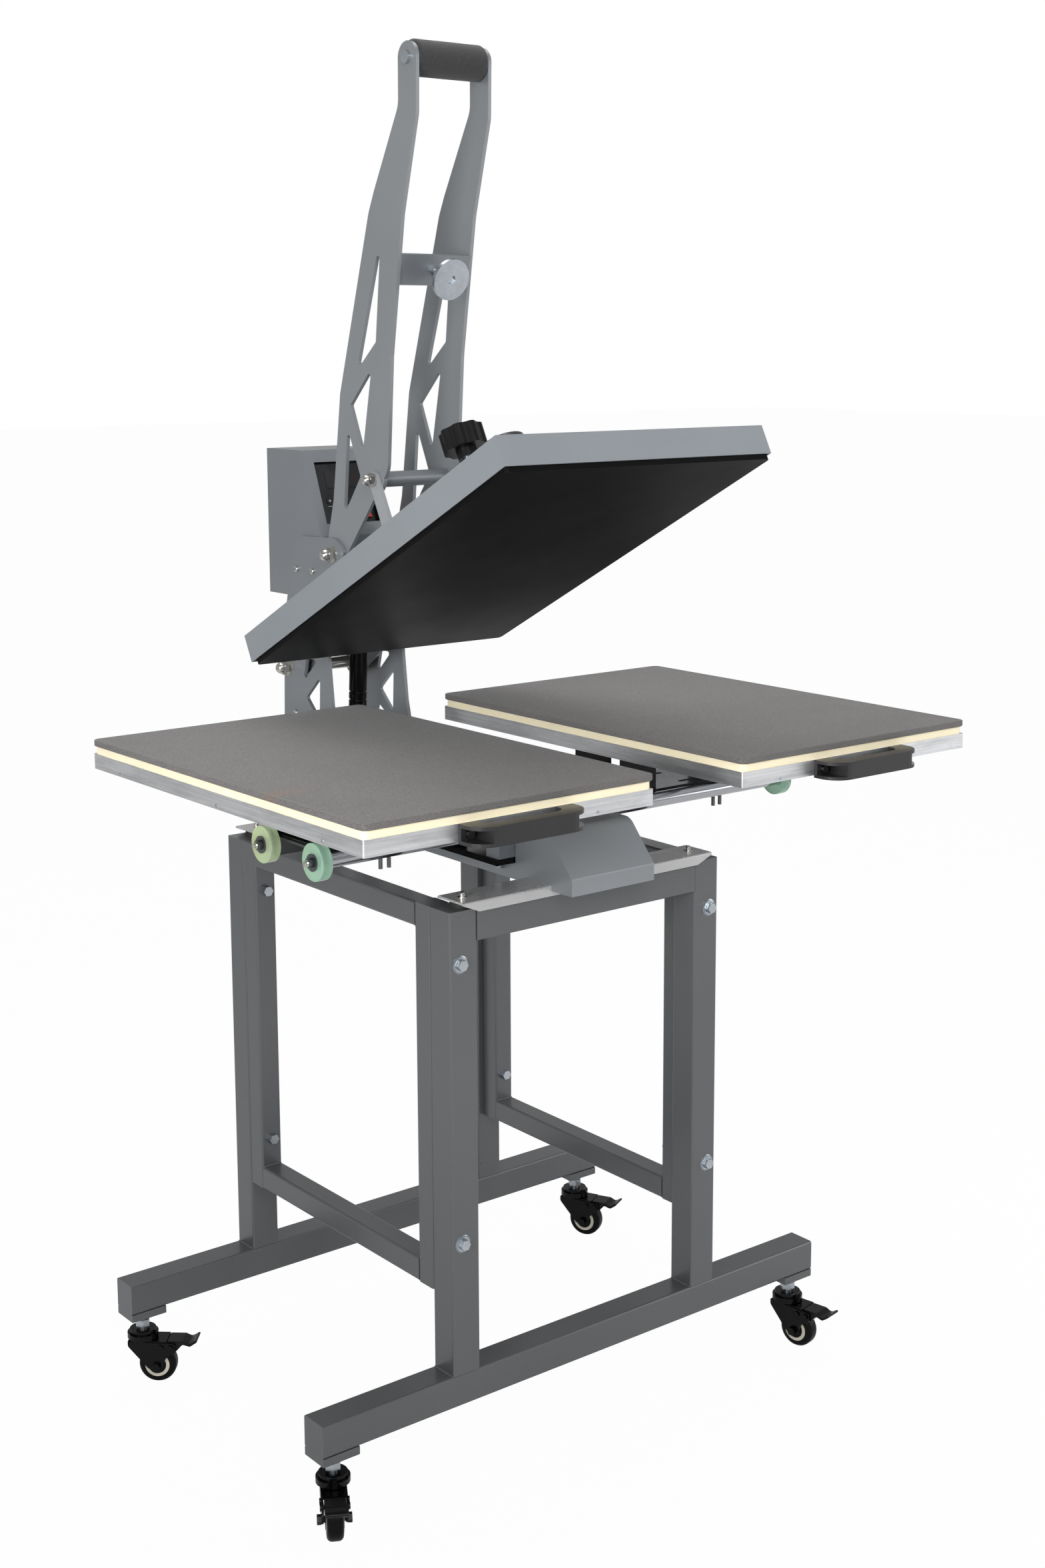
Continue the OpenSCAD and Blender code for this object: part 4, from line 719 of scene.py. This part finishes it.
def make_panel_marks():
    bm = bmesh.new()
    seg = {"a": (0, 6, 5, 1.2), "b": (3, 3, 1.2, 5), "c": (3, -3, 1.2, 5), "d": (0, -6, 5, 1.2),
           "e": (-3, -3, 1.2, 5), "f": (-3, 3, 1.2, 5), "g": (0, 0, 5, 1.2)}
    for k, digit in enumerate("18015"):
        x = -21 + 9.2 * k + (5 if k > 2 else 0)
        for name in SEGMENTS[digit]:
            dx, du, w, h = seg[name]
            face_quad(bm, x + dx, 20 + du, w, h, -4.9)
    add("display_digits", from_bm("display_digits", bm), "stand", M["digit"], 30)
    bm = bmesh.new()
    for k in range(4):
        x = -28 + 14 * k
        if k in (0, 3):
            face_quad(bm, x, -10, 3.4, 0.7, -4.9)
        if k == 0:
            face_quad(bm, x, -10, 0.7, 3.4, -4.9)
        if k in (1, 2):
            for q in range(4):
                face_quad(bm, x, -10 + (1 if k == 1 else -1) * (q - 1.5) * 0.8, 3.4 - q, 0.7, -4.9)
    for k in range(4):
        face_quad(bm, -28 + 14 * k, -17.5, 6, 0.5, -6.3)
    add("key_marks", from_bm("key_marks", bm), "stand", M["mark"], 30)


# Mains inlet and breaker on the back of the box
INLET_X = -0.018
BREAKER_X = 0.033


def make_inlet():
    lo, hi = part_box("control_box")
    y, z = hi[1], lo[2] + 0.040
    bm = bmesh.new()
    for w, h, d in ((0.050, 0.027, 0.0022), (0.032, 0.022, 0.0034)):
        ring = [[bm.verts.new((INLET_X + px, y + yy, z + pz)) for px, pz in rounded_rect(w, h, 0.004)]
                for yy in (0, d)]
        for k in range(len(ring[0])):
            j = (k + 1) % len(ring[0])
            bm.faces.new((ring[0][k], ring[0][j], ring[1][j], ring[1][k]))
        bm.faces.new(ring[1])
    lathe(bm, [(0.009, 0), (0.009, 0.003), (0.006, 0.0034), (0.006, 0.008), (0.0052, 0.0088), (0, 0.009)],
          (BREAKER_X, y, z), (0, 1, 0), 32)
    add("mains_inlet", from_bm("mains_inlet", bm), "stand", M["plastic"], 35)
    bm = bmesh.new()
    for dx, dz in ((-0.007, 0), (0.007, 0), (0, 0.004)):
        place = (INLET_X + dx, y, z - 0.001 + dz)
        lathe(bm, [(0.0013, 0.003), (0.0013, 0.0046), (0, 0.0048)], place, (0, 1, 0), 12)
    for dx in (-0.021, 0.021):
        screw_head(bm, (INLET_X + dx, y + 0.0022, z), (0, 1, 0), 0.0022, 0.001)
    for sx in (-1, 1):
        for dz in (0.012, 0.150):
            screw_head(bm, (sx * 0.052, y, lo[2] + dz), (0, 1, 0), 0.0028, 0.0014)
    add("inlet_pins", from_bm("inlet_pins", bm), "stand", M["nickel"], 35)
    bm = bmesh.new()
    for k in range(7):
        zz = lo[2] + 0.095 + k * 0.008
        ring = [[bm.verts.new((px, y + yy, zz + pz)) for px, pz in rounded_rect(0.056, 0.003, 0.0014, 4)]
                for yy in (0.00002, 0.00012)]
        for a in range(len(ring[0])):
            j = (a + 1) % len(ring[0])
            bm.faces.new((ring[0][a], ring[0][j], ring[1][j], ring[1][a]))
        bm.faces.new(ring[1])
    add("vent_slots", from_bm("vent_slots", bm), "stand", M["plastic"], 35)


make_sleeve()
make_tray_screws()
make_panel_marks()
make_inlet()


# Flange washers, stud tips and bright screws, as radius and height
WASHER = [(0.0092, 0.0), (0.0112, 0.0001), (0.0112, 0.0007), (0.0094, 0.0016), (0.006, 0.0019)]
DISC_SCREW = [(0.0045, -0.0005), (0.0045, 0.0012), (0.0032, 0.0022), (0.0032, 0.0042), (0.0026, 0.005),
              (0, 0.0051)]
STUD_TIP = [(0.0055, 0.0), (0.0055, 0.0006), (0.0032, 0.0008), (0.0032, 0.0052), (0.0024, 0.006),
            (0, 0.0061)]
ROD_Z = 0.783
STUD_Z = 0.728


def make_washers():
    lo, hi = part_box("frame_bolts")
    bm = bmesh.new()
    zs = (lo[2] + 0.009, hi[2] - 0.009)
    for x in (-0.198, 0.198):
        for y, side in ((lo[1] + 0.0055, -1), (hi[1] - 0.0055, 1)):
            for z in zs:
                lathe(bm, WASHER, (x, y - side * 0.0018, z), (0, side, 0), 36)
    add("flange_washers", from_bm("flange_washers", bm), "stand", M["washer"], 35)


def make_disc_screws():
    lo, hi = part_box("carriage_screws")
    bm = bmesh.new()
    for x, side in ((lo[0], -1), (hi[0], 1)):
        for y in (-0.166, -0.054):
            lathe(bm, DISC_SCREW, (x, y, ROD_Z), (side, 0, 0), 28)
    add("disc_screws", from_bm("disc_screws", bm), "carriage", M["nickel"], 35)


def make_stud_tips():
    bm = bmesh.new()
    for x in (-0.1795, 0.1795):
        for y in (-0.231, 0.231):
            lathe(bm, STUD_TIP, (x, y, STUD_Z), (0, 0, 1), 28)
    add("stud_tips", from_bm("stud_tips", bm), "stand", M["nickel"], 35)


def make_ear_screws():
    bm = bmesh.new()
    for side in (-1, 1):
        for y, z in ((0.261, 1.062), (0.301, 1.062), (0.3109, 0.8599)):
            screw_head(bm, (side * 0.0654, y, z), (side, 0, 0), 0.0044, 0.0018)
    add("ear_screws", from_bm("ear_screws", bm), "stand", M["nickel"], 35)


make_washers()
make_disc_screws()
make_stud_tips()
make_ear_screws()
